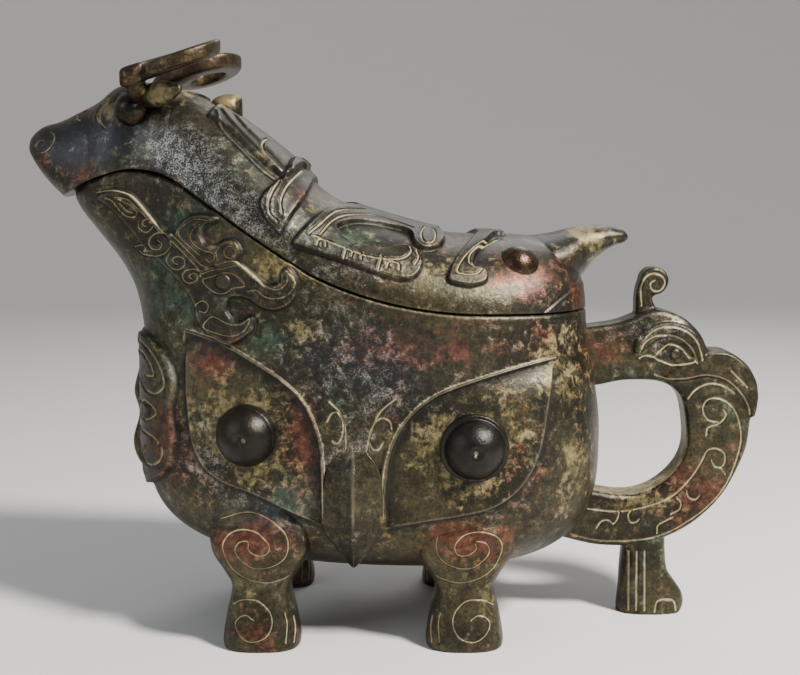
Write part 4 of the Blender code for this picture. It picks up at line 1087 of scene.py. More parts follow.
HANDLE_LINES = (
    ((87.5, 113.1), (87.1, 119.1), (88.4, 122.9), (91.5, 124.6), (94.5, 123.4), (95.4, 120.8), (93.8, 118.4),
     (91.2, 118.6), (90.3, 120.8), (92, 122.1)),
    ((88.6, 102.3), (92.4, 105.1), (97.5, 106), (102.7, 104.4), (106.3, 101), (108.1, 96.6), (108.7, 93.9)),
    ((86.6, 96.2), (87.8, 99.7), (91.2, 102.3), (95, 102.9), (100.2, 101.7), (104.6, 98.2), (106.4, 94.7),
     (107, 92.8)),
    ((92.2, 94.9), (89.2, 95.6), (86.6, 94.7)),
    ((92, 88.8), (96.3, 87.1), (103.2, 87.1), (110.1, 88.3), (117, 86.9), (122.3, 82.5), (125.5, 77.3),
     (126.3, 73.9)),
    ((119.1, 90.1), (123.1, 86.2), (124.9, 84.3)),
    ((104.3, 79.9), (106.8, 83.1), (111.9, 85.5), (117.1, 84.5), (120.8, 81.7)),
    ((111.1, 66.7), (111.7, 69.4), (115.8, 71.1), (117.9, 73.9), (117, 75.9)),
    ((115.3, 71.5), (111.2, 72.6), (109.6, 76.4), (111.4, 79.6), (115.5, 80.1), (119.4, 77.7), (121.9, 73.8),
     (123.4, 68.2), (123.4, 62.9), (121.5, 55.2), (118.3, 47.4), (113.2, 41), (106.4, 35.6), (96.9, 30.2),
     (85.6, 27.9), (72.4, 27.9), (63.2, 30.2)),
    ((69.1, 39.8), (80.9, 38.8), (92.2, 41.1), (100, 44.7), (105.9, 50.9), (109.3, 56.3), (111.7, 61),
     (115.2, 61.9), (117.9, 59.6), (117.6, 55.7), (114.7, 55.2), (113.2, 57.5)),
    ((116.4, 55.2), (118.4, 52.3)),
    ((72.4, 32.5), (74.1, 34.9), (76.5, 35.6), (78.6, 34.2), (80, 36), (80.6, 38.8)),
    ((84.8, 39.2), (83.8, 37.2), (84.6, 34.8), (86.8, 34.8), (87.8, 35.8)),
    ((94.4, 30.6), (94.6, 33.4), (97, 35), (100, 36.6)),
    ((101, 44), (102.6, 42), (102.2, 39.4), (99.2, 37.8)),
    ((104.6, 46.4), (105.4, 44), (108, 43.2), (109.4, 44.6)),
)
HANDLE_EYE = (
    (92.2, 94.9), (95.2, 98.4), (97.7, 99.6), (101.2, 98.2), (103.8, 95.3), (106.5, 93.7), (103.1, 92.6),
    (98.8, 92.1), (95.3, 93.3),
)
HANDLE_PUPIL = (99.1, 96.0, 1.5)
FOOT_LINES = (
    ((84.4, 23.2), (84.8, 1.6)), ((87.2, 23.5), (87.5, 1.6)), ((90, 23.9), (90.5, 1.6)),
    ((94.2, 1.2), (95, 4.9), (98.1, 5.9), (101.2, 4.9), (102.3, 1.2)),
)

# Lid's figures and lines
WING = (
    (-33.6, 136.6), (-28.8, 142.5), (-23.4, 146.8), (-16, 147.8), (-7, 146.3), (4, 142.8), (12, 140.6),
    (16, 138.2), (15, 135.2), (10.4, 134.0), (6.2, 135.6), (4.0, 139.4), (-6.8, 142.2), (-14.6, 143.0),
    (-19.8, 141.4), (-16.8, 137.8), (-11.6, 135.6), (-4.4, 134.2), (2.4, 135.0), (7.6, 132.6), (8.2, 128.6),
    (6, 125.6), (1.6, 125.0), (-4.8, 126.8), (-18.2, 131.4),
)
REAR_BROW = (
    (17.4, 124.6), (19.2, 129.4), (22.9, 133.8), (28.6, 138.2), (34, 140.6), (37.8, 139.4), (32.4, 137.2),
    (27.6, 133.4), (25.2, 128.8), (29.6, 127.0), (29, 123.8), (23.6, 122.8),
)
LEAF = (
    (-29.6, 158.0), (-30.6, 152.4), (-34.6, 145.6), (-37.8, 140.0), (-42, 144.2), (-44.3, 149.6),
    (-42.2, 153.6), (-38.2, 157.2), (-36.6, 163.0), (-32.4, 160.8),
)
NAPE_BAND = (
    (-63.5, 178.4), (-57.0, 174.4), (-50.4, 168.2), (-43.0, 161.6), (-37.4, 157.4), (-32.8, 162.0),
    (-38.6, 167.6), (-46.4, 174.4), (-55.0, 180.4), (-61.0, 184.6),
)
LID_FIGURE_HEIGHT = 1.8
LID_LINES = (
    ((-120.4, 174), (-118.5, 173), (-118.1, 170.7), (-119.9, 168), (-122.6, 166.6), (-124.6, 167.4),
     (-125.4, 169.1), (-123.9, 170.6), (-122, 171)),
    ((-107.3, 180.9), (-110.2, 180.5), (-110.6, 178.7), (-108.8, 177.6)),
    ((-98.6, 174.8), (-100.8, 177.2), (-101, 180.6), (-98.3, 183.4)),
    ((-100.7, 176.2), (-102.3, 178.7), (-101.8, 182.2), (-99.1, 185.4)),
    ((-33.1, 159.2), (-35.3, 156.3), (-37.3, 153.1), (-38.2, 149.4), (-37.4, 145.6)),
    ((-39.2, 156.3), (-41.2, 152.2), (-41.9, 148.8), (-41, 145.6), (-38.6, 143.3)),
    ((-43.7, 170.2), (-45.5, 169.7), (-46.1, 167.6), (-45.2, 165.9)),
    ((-28.6, 139.3), (-25.2, 142), (-22.9, 144.1), (-19.8, 145.7), (-14.2, 145.9), (-7, 145.1), (0.4, 143.1),
     (7.8, 141.2), (11.5, 140)),
    ((-25, 138.9), (-21.7, 142.5), (-17.6, 144.1), (-9.8, 144), (-1.1, 141.8), (5.5, 139.6)),
    ((-27.1, 138.5), (-20.1, 135.6), (-10.9, 132.1), (-3.8, 130.7), (1.9, 130.7), (4.7, 132.5), (4.2, 134.5)),
    ((-26, 135.7), (-25.4, 137.2), (-23.4, 136.7), (-23.1, 135)),
    ((-17.2, 131.2), (-16.5, 134.2)),
    ((-14.7, 131.8), (-14.1, 133.3), (-11.8, 132.6), (-11.4, 130.8)),
    ((-5.9, 127.4), (-4.9, 131.4)),
    ((-3.1, 128), (-2.4, 129.8), (0.6, 129.3), (0.9, 127.3)),
    ((5.8, 128.8), (7.2, 130.8), (6.5, 132.8)),
    ((38.2, 137.6), (29.9, 135.5), (23.4, 131.5), (20, 127.1), (21.7, 125.8), (26, 125.7), (28.3, 127.3)),
    ((26.4, 127.9), (24.1, 129.1), (25, 131.9), (29.8, 134.8), (35.6, 137)),
)
NAPE_LINES = (
    ((-61.4, 179), (-58.7, 174.2), (-52.2, 167.6), (-44.8, 160.4), (-39.2, 156.3)),
    ((-60.2, 179.7), (-55.6, 174.8), (-48.6, 168.2), (-42, 161.6), (-37.7, 157.5)),
    ((-58.4, 180.3), (-52.9, 174.6), (-46, 168.2), (-37.9, 160.5), (-36.1, 158.4)),
)
WING_RING = (10.6, 137.4, 2.5)
CHEEK_LINE = ((66.0, 124.6), (64.0, 122.6), (57.7, 119.4), (49.5, 113.9))
HORN_CENTRE = (-72.4, -29.6, 196.7)
HORN_RISE = 0.311
HORN_FALL = 0.13
HORN_RADIUS = 15.0
HORN_INNER_RADIUS = 4.4
HORN_TURNS = 1.25
HORN_START = 182.0
HORN_WIDTH = 8.0
HORN_THICKNESS = 5.4
HORN_TIP = 0.5
HORN_STEPS = 160
HORN_SIDES = 40
HORN_EASE = 1.2
HORN_SQUARENESS = 0.45
HORN_ROOT = (-86.0, -12.5, 182.0)
HORN_ROOT_WIDTH = 7.6
EYE_CENTRE = (-89.6, 181.0)
EYE_RADIUS = 5.9
EYE_PROUD = 0.6
EAR_ROOT = (-87.5, -15.0, 184.6)
EAR_SIZE = (6.5, 8.5)
EAR_TIP = (-70.5, -32.0, 187.0)
TUFT_LEVELS = (
    (-67.5, 179.0, 2.0), (-65.0, 184.6, 4.6), (-61.0, 187.0, 5.0), (-56.4, 187.2, 4.2), (-54.2, 185.8, 1.6),
)
TUFT_DEPTH = 10.0
REAR_EYE = (41.0, 130.6)
REAR_EYE_RADIUS = 7.2
REAR_EYE_SINK = 3.6
TAIL_LEVELS = (
    (46.0, 129.0, 8.6, 19.0), (54.0, 128.6, 10.0, 19.5), (61.0, 130.0, 10.2, 16.0), (66.0, 132.4, 8.8, 11.5),
    (70.0, 135.0, 6.4, 8.0), (74.0, 136.6, 4.7, 5.8), (78.0, 137.3, 3.2, 4.2), (81.0, 137.3, 2.2, 2.8),
    (82.4, 137.1, 1.0, 1.4),
)
TAIL_FREE_X = 60
LID_SINK = 2.3


def circle(x, z, radius, count=20):
    turns = np.arange(count) * 2 * math.pi / count
    return np.stack([x + radius * np.cos(turns), z + radius * np.sin(turns)], 1)


def turns_round(count):
    return np.linspace(0, 2 * math.pi, count, endpoint=False)


def squared_off(value, power):
    """A sine or cosine drawn out towards 1 by a power below 1, with its sign kept."""
    return math.copysign(abs(value) ** power, value)


def lines(list_of_points, stroke, closed=False):
    return [Stroke(points, *stroke, True, closed) for points in list_of_points]


def column_of(table, level, column):
    """Smooth value of one column of a table of levels."""
    rows = sorted((row[0], row[column]) for row in table)
    return float(smooth_value(rows, level)) if level < rows[-1][0] else rows[-1][1]


def pick(bm, name):
    """Values of a layer of the points, which is then taken away."""
    layer = bm.verts.layers.float[name]
    values = np.array([vert[layer] for vert in bm.verts])
    bm.verts.layers.float.remove(layer)
    return values


def close_skin(bm, looks, outside):
    """Close a mapped skin. Gives back the fill, the worn and highlighted edges, and the darkening with
    painted shade, of the points that are left.
    """
    names = ("fill0", "wear_and_highlight0", "dirt_and_shade0")
    for name, values in zip(names, looks):
        put_layer(bm, name, values * outside)
    bmesh.ops.remove_doubles(bm, verts=bm.verts, dist=WELD)
    bmesh.ops.dissolve_degenerate(bm, dist=WELD / 4, edges=bm.edges)
    bmesh.ops.recalc_face_normals(bm, faces=bm.faces)
    return [pick(bm, name) for name in names]


def carve(bm, marks, longest, passes, facing=0.25):
    """Refine a mesh near marks drawn in x and z, and push its near and far sides by their heights."""
    split_edges(bm, marks, longest, passes)
    places, normals = get_places(bm), vertex_normals(bm)
    height, fill, wear_and_highlight, dirt_and_shade = mark_heights(places[:, (0, 2)], marks)
    sideways = smooth_step(np.abs(normals[:, 1]), facing, facing + 0.3)
    set_places(bm, places + normals * (height * sideways)[:, None])
    return fill * sideways, wear_and_highlight * sideways, dirt_and_shade * sideways


def outward(normals, base, middle, outside):
    """The normals, turned round if they point towards the middle on the outside of a skin."""
    inward = (normals * (base - middle)).sum(1)[outside].mean() < 0
    return -normals if inward else normals


def shape_plate(side, base, places, looks, outside):
    """Sink and raise one eye plate of the bowl, and add to looks the fill of its edges, a painted highlight
    along them, and painted shade under the brow and under its proud edges.

    Bands along the edge are given by signed, the distance from it in millimetres, above 0 inside.
    """
    fill, wear_and_highlight, dirt_and_shade = looks
    line = PLATE_LINES[side]
    points = base[:, (0, 2)]
    chosen = near_line(points, line, 2.0)
    chosen = chosen[outside[chosen]]
    signed = signed_distance(points[chosen], line)
    share = smooth_step(signed, -0.3, 0.4)
    lift = plate_lift(side, points[chosen, 0], points[chosen, 1])
    brow = hill(line_distance(points[chosen], BROW_LINES[side], False), BROW_REACH)
    lift = lift - brow * np.clip(lift + BROW_DEPTH, 0.0, BROW_MOST)
    places[chosen, 1] += np.sign(base[chosen, 1]) * share * lift
    sunk = smooth_step(-lift, 0.0, 0.8)
    proud = smooth_step(lift, 0.0, 0.8)
    above, below = hill(signed + 0.8, 0.45), smooth_step(signed, -2.6, -0.4)
    inside = hill(signed - 0.4, 0.7)
    shade = smooth_step(signed, 0.1, 0.5) * (1 - smooth_step(signed, 1.2, 4.5))
    # Painted highlight along the plate's edges
    wear_and_highlight[chosen] = np.maximum(wear_and_highlight[chosen], np.maximum(above * sunk, inside * proud * 0.8))
    fill[chosen] = np.maximum(fill[chosen], hill(signed + 1.0, 0.24) * sunk * 0.75)
    # Painted shade inside the sunk edge under the brow and under the proud edges, and darker near the brow
    foot = np.maximum(shade * sunk * 0.75, below * (signed < 0.1) * proud)
    dirt_and_shade[chosen] = np.maximum(dirt_and_shade[chosen], np.maximum(foot, brow * share * 0.55))


def make_bowl(marks, breast, material):
    bm = grid(*BOWL_GRID)
    for vert in bm.verts:
        row = vert.co.y
        vert.co.y = row / OUTER_ROWS if row < OUTER_ROWS else 1 + (row - OUTER_ROWS) / (1 - OUTER_ROWS)
    edges = [Figure(line, 0) for line in PLATE_LINES.values()]
    split_edges(bm, edges + marks, 0.5, 3, bowl_place, margin=2.5, slack=0.6)
    split_edges(bm, breast, 0.7, 2, bowl_place, breast_flat, lambda ends: ends[:, :, 1].max(1) < 1.0)
    flat = get_places(bm)
    base = bowl_place(flat[:, 0], flat[:, 1])
    set_places(bm, base)
    outside = flat[:, 1] < 0.999
    out = outward(vertex_normals(bm), base, BOWL_MIDDLE, outside)
    brows = [Stroke(line, *BROW_STROKE, False) for line in BROW_LINES.values()]
    height, *looks = mark_heights(base[:, (0, 2)], marks + brows)
    sideways = smooth_step(np.abs(out[:, 1]), 0.05, 0.3) * outside
    rise, *front = mark_heights(breast_flat(flat, base), breast)
    places = base + out * (height * sideways + rise * outside)[:, None]
    looks = [np.maximum(look * sideways, other) for look, other in zip(looks, front)]
    for side in PLATE_LINES:
        shape_plate(side, base, places, looks, outside)
    # Painted shade round the foot of each eye boss on the bowl
    for x, z in (BOSS_LEFT, BOSS_RIGHT):
        away = np.hypot(base[:, 0] - x, base[:, 2] - z) - BOSS_RADIUS
        looks[2] = np.maximum(looks[2], 0.85 * hill(away, 0.9) * outside)
    set_places(bm, places)
    looks = close_skin(bm, looks, outside)
    finish_piece("bowl", bm, "vessel", "vessel", material, *looks)


def breast_flat(flat, base):
    """Places round the breast as a length on each side of its middle line, folded together, and a height."""
    turn = flat[:, 0] * 360.0
    turn = np.minimum(turn, 360.0 - turn)
    return np.stack([turn * MASK_SCALE, base[:, 2]], 1)


def make_mask_nose(material):
    rings = []
    for level in MASK_NOSE_HEIGHTS:
        half, height = (column_of(MASK_NOSE_LEVELS, level, k) for k in (1, 2))
        front = float(front_x(level, 0.0))
        ring = []
        for turn in turns_round(24):
            side, out = math.cos(turn), math.sin(turn)
            proud, sunk = (height + MASK_NOSE_SINK) * max(out, 0.0) ** 0.7, 1.5 * max(-out, 0.0)
            ring.append((front + MASK_NOSE_SINK - proud + sunk, side * (half + 0.6), level))
        rings.append(ring)
    finish_piece("mask_nose", loft(rings), "vessel", "vessel", material)


def make_beaks(material):
    rings = []
    for level in BEAK_HEIGHTS:
        half, ridge, thick = (column_of(BEAK_LEVELS, level, k) for k in (1, 2, 3))
        root = max(level, BEAK_ROOT_Z)
        front = -float(half_width(BEAK_X, root)) - ridge
        back = front + thick
        ring = []
        for across in np.linspace(-1, 1, 41):
            share = max(0.0, 1.012 - (across ** 2 + 0.0002) ** 0.5) ** 1.35
            x = BEAK_X + half * across
            edge = -float(half_width(x, root)) - BEAK_EDGE * min(ridge, 1.0)
            ring.append((x, edge + (front - edge) * share, level))
        for across in np.linspace(0.9, -0.9, 9):
            ring.append((BEAK_X + half * across, back, level))
        rings.append(ring)
    bm = gather([loft(rings)], True)
    places = get_places(bm)
    # Painted highlight down the crest of each beak's ridge
    ridge = hill(places[:, 0] - BEAK_X, 0.7) * smooth_step(places[:, 2], 38.0, 48.0)
    finish_piece("beaks", bm, "vessel", "vessel", material, wear_and_highlight=ridge, zoned=0.5)


def plate_surface(side, x, z):
    """Distance of an eye plate's surface from the middle plane."""
    return float(plate_lift(side, np.array(x), np.array(z)) + half_width(x, z))


def make_boss(side, centre, ring_radius):
    """One owl's eye: a domed boss with a dimple, a groove round it, and a low ring under the right one."""
    x, z = centre
    surface = plate_surface(side, x, z)
    ahead, behind = x + BOSS_LEAN_REACH, x - BOSS_LEAN_REACH
    lean = math.atan((plate_surface(side, ahead, z) - plate_surface(side, behind, z)) / (ahead - behind))
    profile = []
    if ring_radius:
        profile += [(ring_radius + 0.1, -3.0), (ring_radius, RIGHT_RING_HEIGHT * 0.6),
                    (ring_radius - 0.4, RIGHT_RING_HEIGHT), (ring_radius - 1.0, RIGHT_RING_HEIGHT * 0.9)]
    for step in np.linspace(0.0, 1.0, BOSS_STEPS):
        turn = step * math.pi / 2
        radius = BOSS_RADIUS * math.cos(turn)
        rise = BOSS_RADIUS * math.sin(turn) - BOSS_SINK
        groove = GROOVE_DEPTH * math.exp(-((step - GROOVE_PLACE) / GROOVE_WIDTH) ** 2)
        dimple = DIMPLE_DEPTH * math.exp(-(radius / DIMPLE_RADIUS) ** 2)
        if rise > (0.9 if ring_radius else -2.0):
            profile.append((max(radius - groove, 0.02), rise - dimple))
    rings = []
    for radius, rise in profile:
        ring = []
        for turn in turns_round(72):
            u, v = radius * math.cos(turn), radius * math.sin(turn)
            ring.append((x + u * math.cos(lean) - rise * math.sin(lean),
                         -surface - u * math.sin(lean) - rise * math.cos(lean), z + v))
        rings.append(ring)
    return loft(rings)


def make_bosses(material):
    parts = [make_boss("left", BOSS_LEFT, 0.0), make_boss("right", BOSS_RIGHT, RIGHT_RING_RADIUS)]
    bm = gather(parts, True)
    places = get_places(bm)
    fill, dirt_and_shade = np.zeros(len(places)), np.zeros(len(places))
    for x, z in (BOSS_LEFT, BOSS_RIGHT):
        away = np.hypot(places[:, 0] - x - 0.2, places[:, 2] - z)
        fill = np.maximum(fill, 0.55 * np.exp(-(away / 1.15) ** 4))
        # A dark ring round each dimple, and painted shade at the foot of each dome and on the outer wall of
        # the right one's ring
        dirt_and_shade = np.maximum(dirt_and_shade, 0.9 * hill(away - 2.0, 0.5))
        dirt_and_shade = np.maximum(dirt_and_shade, smooth_step(away, 10.6, 12.2) * 0.8)
    finish_piece("eye_bosses", bm, "vessel", "vessel", material, fill, dirt_and_shade=dirt_and_shade, zoned=0.0)


def make_leg(x, flip):
    """One near-side leg with its spirals, as drawn for the front leg and mirrored for the rear one."""
    rings = []
    for level in LEG_HEIGHTS:
        half, near, far = (column_of(LEG_LEVELS, level, k) for k in (1, 2, 3))
        inset = LEG_FOOT * (1 - min(level / LEG_FOOT, 1.0)) ** 2
        ring = []
        for turn in turns_round(120):
            side, back = (squared_off(way, 2.0 / LEG_SQUARENESS) for way in (math.cos(turn), math.sin(turn)))
            across = x + (half - inset) * side
            depth = (near + far) / 2 - ((near - far) / 2 - inset) * back
            wall = float(half_width(across, level))
            if wall > LEG_SINK:
                depth = max(depth, wall - LEG_SINK)
                depth = min(depth, wall + np.interp(level, LEG_PROUD_LEVELS, LEG_PROUD))
            ring.append((across, -depth, level))
        rings.append(ring)
    bm = loft(rings)
    bmesh.ops.triangulate(bm, faces=[face for face in bm.faces if len(face.verts) > 4])
    marks = []
    for points in (THIGH_A, THIGH_B, FOOT_SPIRAL, TOE_A, TOE_B):
        way = -1 if flip else 1
        moved = [(x + way * (u - LEG_FRONT_X), z) for u, z in points]
        marks.append(Stroke(moved, *LEG_STROKE))
    fill, *_ = carve(bm, marks, 0.32, 3, 0.05)
    put_layer(bm, "fill0", fill)
    return bm


def make_legs(material):
    bm = gather([make_leg(LEG_FRONT_X, False), make_leg(LEG_REAR_X, True)], True)
    finish_piece("legs", bm, "vessel", "vessel", material, pick(bm, "fill0"))


def make_handle(material):
    """Bird in profile, cast in one with its crest and foot, and its engraved lines."""
    outer = smooth_line(HANDLE_OUTLINE, (0, 9, len(HANDLE_OUTLINE) - 1), 3)[:-3]
    hole = smooth_line(HANDLE_HOLE, (0, len(HANDLE_HOLE) - 1), 3)[:-3]
    outline = list(outer) + [HANDLE_OUTLINE[-1]] + list(hole[::-1])
    parts = [
        prism(outline, HANDLE_HALF, HANDLE_BEVEL),
        prism(smooth_line(HANDLE_BROW, (0,), 3), HANDLE_HALF + BROW_PROUD, 0.5),
        prism(smooth_line(HANDLE_BEAK, (6,), 3), HANDLE_HALF + BEAK_PROUD, 0.5),
        prism(smooth_line(CREST_STEM, (), 3), CREST_HALF, 1.2),
        prism(circle(*CREST_CURL_CENTRE, CREST_CURL_RADIUS, 32), CREST_HALF + 0.6, 1.0),
    ]
    rings = []
    for level in FOOT_HEIGHTS:
        low, high = (column_of(FOOT_LEVELS, level, k) for k in (1, 2))
        ring = []
        for turn in turns_round(60):
            side, back = (squared_off(way, FOOT_SQUARENESS) for way in (math.cos(turn), math.sin(turn)))
            ring.append(((low + high) / 2 + (high - low) / 2 * side, HANDLE_HALF * back, level))
        rings.append(ring)
    parts.append(loft(rings))
    bm = cast(gather(parts), HANDLE_VOXEL)
    for vert in bm.verts:
        vert.co.z = max(vert.co.z, 0.0)
    marks = lines(HANDLE_LINES, HANDLE_STROKE) + lines([HANDLE_EYE], HANDLE_STROKE, True)
    marks += lines(FOOT_LINES, FOOT_STROKE)
    marks.append(Figure(circle(*HANDLE_PUPIL), 0.7, 0.5))
    layers = list(carve(bm, marks, 0.34, 1))
    places = get_places(bm)
    rim = line_distance(places[:, (0, 2)], hole, True) < HOLE_RIM
    rim &= (np.abs(places[:, 1]) < HANDLE_HALF - 1.2) & (places[:, 2] < HOLE_TOP)
    layers[0] = np.maximum(layers[0], rim * 0.55)
    finish_piece("handle", bm, "vessel", "vessel", material, *layers)


# Lid

def lid_flat_height(x, z):
    """Height of a place on the lid's side, as a length up its arch from the seam."""
    return np.degrees(np.arcsin(np.clip(arch_share(x, z), -1.0, RIDGE_SHARE))) * LID_SCALE


def on_lid_flat(points):
    """The (x, z) points of a drawing as lengths along the lid and up its arch."""
    points = np.asarray(points, float)
    return np.stack([points[:, 0], lid_flat_height(points[:, 0], points[:, 1])], 1)


def lid_stroke(points, stroke):
    return Stroke(on_lid_flat(smooth_line(points, (), 4, False)), *stroke, False)


def lid_fold(_, base):
    """Places on the lid's outside as lengths along it and up its arch, as split_edges asks for them."""
    return on_lid_flat(base[:, (0, 2)])


def lid_inside(x, half, rim_half, middle, top, rim, back):
    """y of the lid's rim and hollow and their height over the rim, by a share from one rim to the other."""
    cavity_middle, cavity_half = sum(LID_CAVITY) / 2, (LID_CAVITY[1] - LID_CAVITY[0]) / 2
    place = np.abs((x - cavity_middle) / cavity_half)
    shrink = np.where(place < 1, rounded(place, LID_CAVITY_ROUNDNESS), 0.0)
    inner_half = np.maximum(half - LID_WALL, 0.0) * shrink
    inner_top = np.maximum((middle + (top - LID_WALL - middle) * shrink) - rim, 0.0) * (shrink > 0)
    near_rim, far_rim = back < LID_RIM_BAND, back > 1 - LID_RIM_BAND
    near_share, far_share = np.clip(back / LID_RIM_BAND, 0, 1), np.clip((1 - back) / LID_RIM_BAND, 0, 1)
    arc = np.clip((back - LID_RIM_BAND) / (1 - 2 * LID_RIM_BAND), 0.0, 1.0) * math.pi
    y = inner_half * np.sign(np.cos(arc)) * np.abs(np.cos(arc)) ** ARCH_POWER
    y = np.where(near_rim, rim_half + (inner_half - rim_half) * near_share, y)
    y = np.where(far_rim, -(rim_half + (inner_half - rim_half) * far_share), y)
    under_arch = (back > LID_RIM_BAND) & (back < 1 - LID_RIM_BAND)
    return y, np.where(under_arch, inner_top * np.sin(arc), 0.0)


def lid_place(column, row):
    """Point of the lid's skin: column goes round its section, outside and then inside, row from the tip."""
    ease = (1 - np.cos(math.pi * row)) / 2
    share = 0.55 * ease + 0.45 * row
    x = HEAD_TIP + (LID_REAR - HEAD_TIP) * np.clip(share, 0.0, 1.0)
    closing = smooth_step(row, 0.0, 0.002) * smooth_step(1 - row, 0.0, 0.004)
    middle, top, bottom = lid_middle(x), lid_top(x), lid_bottom(x)
    rim = seam_z(x) + SEAM_GAP / 2
    lift = np.where(rim >= middle, (rim - middle) / (top - middle), (rim - middle) / (middle - bottom))
    low = np.arcsin(np.clip(lift, -1.0, 1.0))
    half = lid_half_width(x)
    across = np.clip(column / OUTER_COLUMNS, 0.0, 1.0)
    turn = low + (math.pi - 2 * low) * across
    side, up = np.cos(turn), np.sin(turn)
    outer_y = -np.sign(side) * half * np.abs(side) ** ARCH_POWER
    outer_z = middle + np.where(up > 0, top - middle, middle - bottom) * up
    rim_half = half * np.abs(np.cos(low)) ** ARCH_POWER
    rim_z = np.maximum(rim, bottom)
    back = np.clip((column - OUTER_COLUMNS) / (1 - OUTER_COLUMNS), 0.0, 1.0)
    inner_y, rise = lid_inside(x, half, rim_half, middle, top, rim, back)
    outer = column < OUTER_COLUMNS
    y = np.where(outer, outer_y, inner_y)
    z = np.where(outer, outer_z, rim_z + rise)
    centre = (top + rim_z) / 2
    return np.stack([x + 0 * column, y * closing, centre + (z - centre) * closing], -1)


def make_lid_body(marks, material):
    bm = grid(*LID_GRID)
    split_edges(bm, marks, 0.46, 3, lid_place, lid_fold, lambda ends: ends[:, :, 0].max(1) < OUTER_COLUMNS)
    flat = get_places(bm)
    base = lid_place(flat[:, 0], flat[:, 1])
    set_places(bm, base)
    outside = (flat[:, 0] < OUTER_COLUMNS * 0.999) & (flat[:, 0] > 0.001)
    outside &= (flat[:, 1] > 0.01) & (flat[:, 1] < 0.99)
    middle = np.stack([base[:, 0], 0 * base[:, 1], lid_middle(base[:, 0])], 1)
    out = outward(vertex_normals(bm), base, middle, outside)
    folded = on_lid_flat(base[:, (0, 2)])
    height, *looks = mark_heights(folded, marks)
    plain, *plain_looks = mark_heights(folded, [mark for mark in marks if isinstance(mark, Figure)])
    crown = smooth_step(arch_share(base[:, 0], base[:, 2]), *CROWN_SHARES)
    height = height + (plain - height) * crown
    looks = [look + (other - look) * crown for look, other in zip(looks, plain_looks)]
    set_places(bm, base + out * (height * outside)[:, None])
    finish_piece("lid_body", bm, "lid", "lid", material, *close_skin(bm, looks, outside))


def make_flange(material):
    """Ring under the lid that sits inside the vessel's rim, through its section of (grow, rise) points."""
    outer = -(WALL + FLANGE_GAP)
    inner = outer - FLANGE_WALL
    section = ((outer, -4.0), (outer, 1.3), (-2.6, 1.7), (-2.6, 3.6), (inner, 4.2), (inner, -4.0))
    turns = turns_round(160)
    columns = []
    for grow, rise in section:
        level = seam_level(turns, grow, rise)
        x = ring_x(turns, level, grow)
        columns.append(np.stack([x, -half_width(x, level, grow) * ring_side(turns), level], 1))
    rings = [[column[i] for column in columns] for i in range(len(turns))]
    finish_piece("lid_flange", loft(rings + [rings[0]]), "lid", "lid", material)


def horn_place(along, across, lift):
    rise = HORN_RISE * along + HORN_FALL * across + lift
    return (HORN_CENTRE[0] + along, HORN_CENTRE[1] + across, HORN_CENTRE[2] + rise)


def bar(start, end, width, thickness):
    """Rounded bar from one place to another, thickest in the middle."""
    start, end = Vector(start), Vector(end)
    along = (end - start).normalized()
    side = along.cross(Vector((0, 0, 1))).normalized()
    up = side.cross(along)
    rings = []
    for i in range(BAR_STEPS + 1):
        share = i / BAR_STEPS
        swell = math.sin(math.pi * (0.12 + 0.82 * share)) ** 0.8
        centre = start.lerp(end, share)
        ring = []
        for k in range(BAR_SIDES):
            turn = 2 * math.pi * k / BAR_SIDES
            across, high = width / 2 * swell * math.cos(turn), thickness / 2 * swell * math.sin(turn)
            ring.append(tuple(centre + side * across + up * high))
        rings.append(ring)
    return loft(rings)


def make_horns(material):
    rings = []
    for i in range(HORN_STEPS + 1):
        share = i / HORN_STEPS
        turn = math.radians(HORN_START - share * HORN_TURNS * 360)
        radius = HORN_RADIUS + (HORN_INNER_RADIUS - HORN_RADIUS) * share ** HORN_EASE
        size = (1 - (1 - HORN_TIP) * share) * min(1.0, 0.35 + share / 0.02)
        ring = []
        for k in range(HORN_SIDES):
            around = 2 * math.pi * k / HORN_SIDES
            side, up = (squared_off(way, HORN_SQUARENESS) for way in (math.cos(around), math.sin(around)))
            out = radius + size * HORN_WIDTH / 2 * side
            lift = size * HORN_THICKNESS / 2 * up * (1.0 if up > 0 else 1.5)
            ring.append(horn_place(out * math.cos(turn), out * math.sin(turn), lift))
        rings.append(ring)
    start = math.radians(HORN_START)
    top = horn_place(HORN_RADIUS * math.cos(start), HORN_RADIUS * math.sin(start), 0.0)
    bm = cast(gather([loft(rings), bar(HORN_ROOT, top, HORN_ROOT_WIDTH, HORN_ROOT_WIDTH)]), HORN_VOXEL)
    finish_piece("horns", gather([bm], True), "lid", "lid", material)


def make_ears(material):
    rings = []
    for x in np.linspace(TUFT_LEVELS[0][0], TUFT_LEVELS[-1][0], 24):
        top, half = (column_of(TUFT_LEVELS, x, k) for k in (1, 2))
        middle = top - TUFT_DEPTH / 2
        rings.append([(x, half * math.cos(turn), middle + TUFT_DEPTH / 2 * squared_off(math.sin(turn), 0.8))
                      for turn in turns_round(32)])
    bm = gather([bar(EAR_ROOT, EAR_TIP, *EAR_SIZE)], True)
    finish_piece("ears_and_tuft", gather([bm, loft(rings)]), "lid", "lid", material)


def make_tail(material):
    rings = []
    for x in np.linspace(TAIL_LEVELS[0][0], TAIL_LEVELS[-1][0], 80):
        middle, high, wide = (column_of(TAIL_LEVELS, x, k) for k in (1, 2, 3))
        ring = []
        for turn in turns_round(64):
            across, level = wide * math.cos(turn), middle + high * math.sin(turn)
            if x < TAIL_FREE_X:
                bend = max(0.0, 1 - abs(across / lid_half_width(x)) ** (2 / ARCH_POWER)) ** 0.5
                level = max(level, float(lid_middle(x) + bend * (lid_top(x) - lid_middle(x))) - LID_SINK)
            ring.append((x, across, level))
        rings.append(ring)
    finish_piece("tail", loft(rings), "lid", "lid", material)


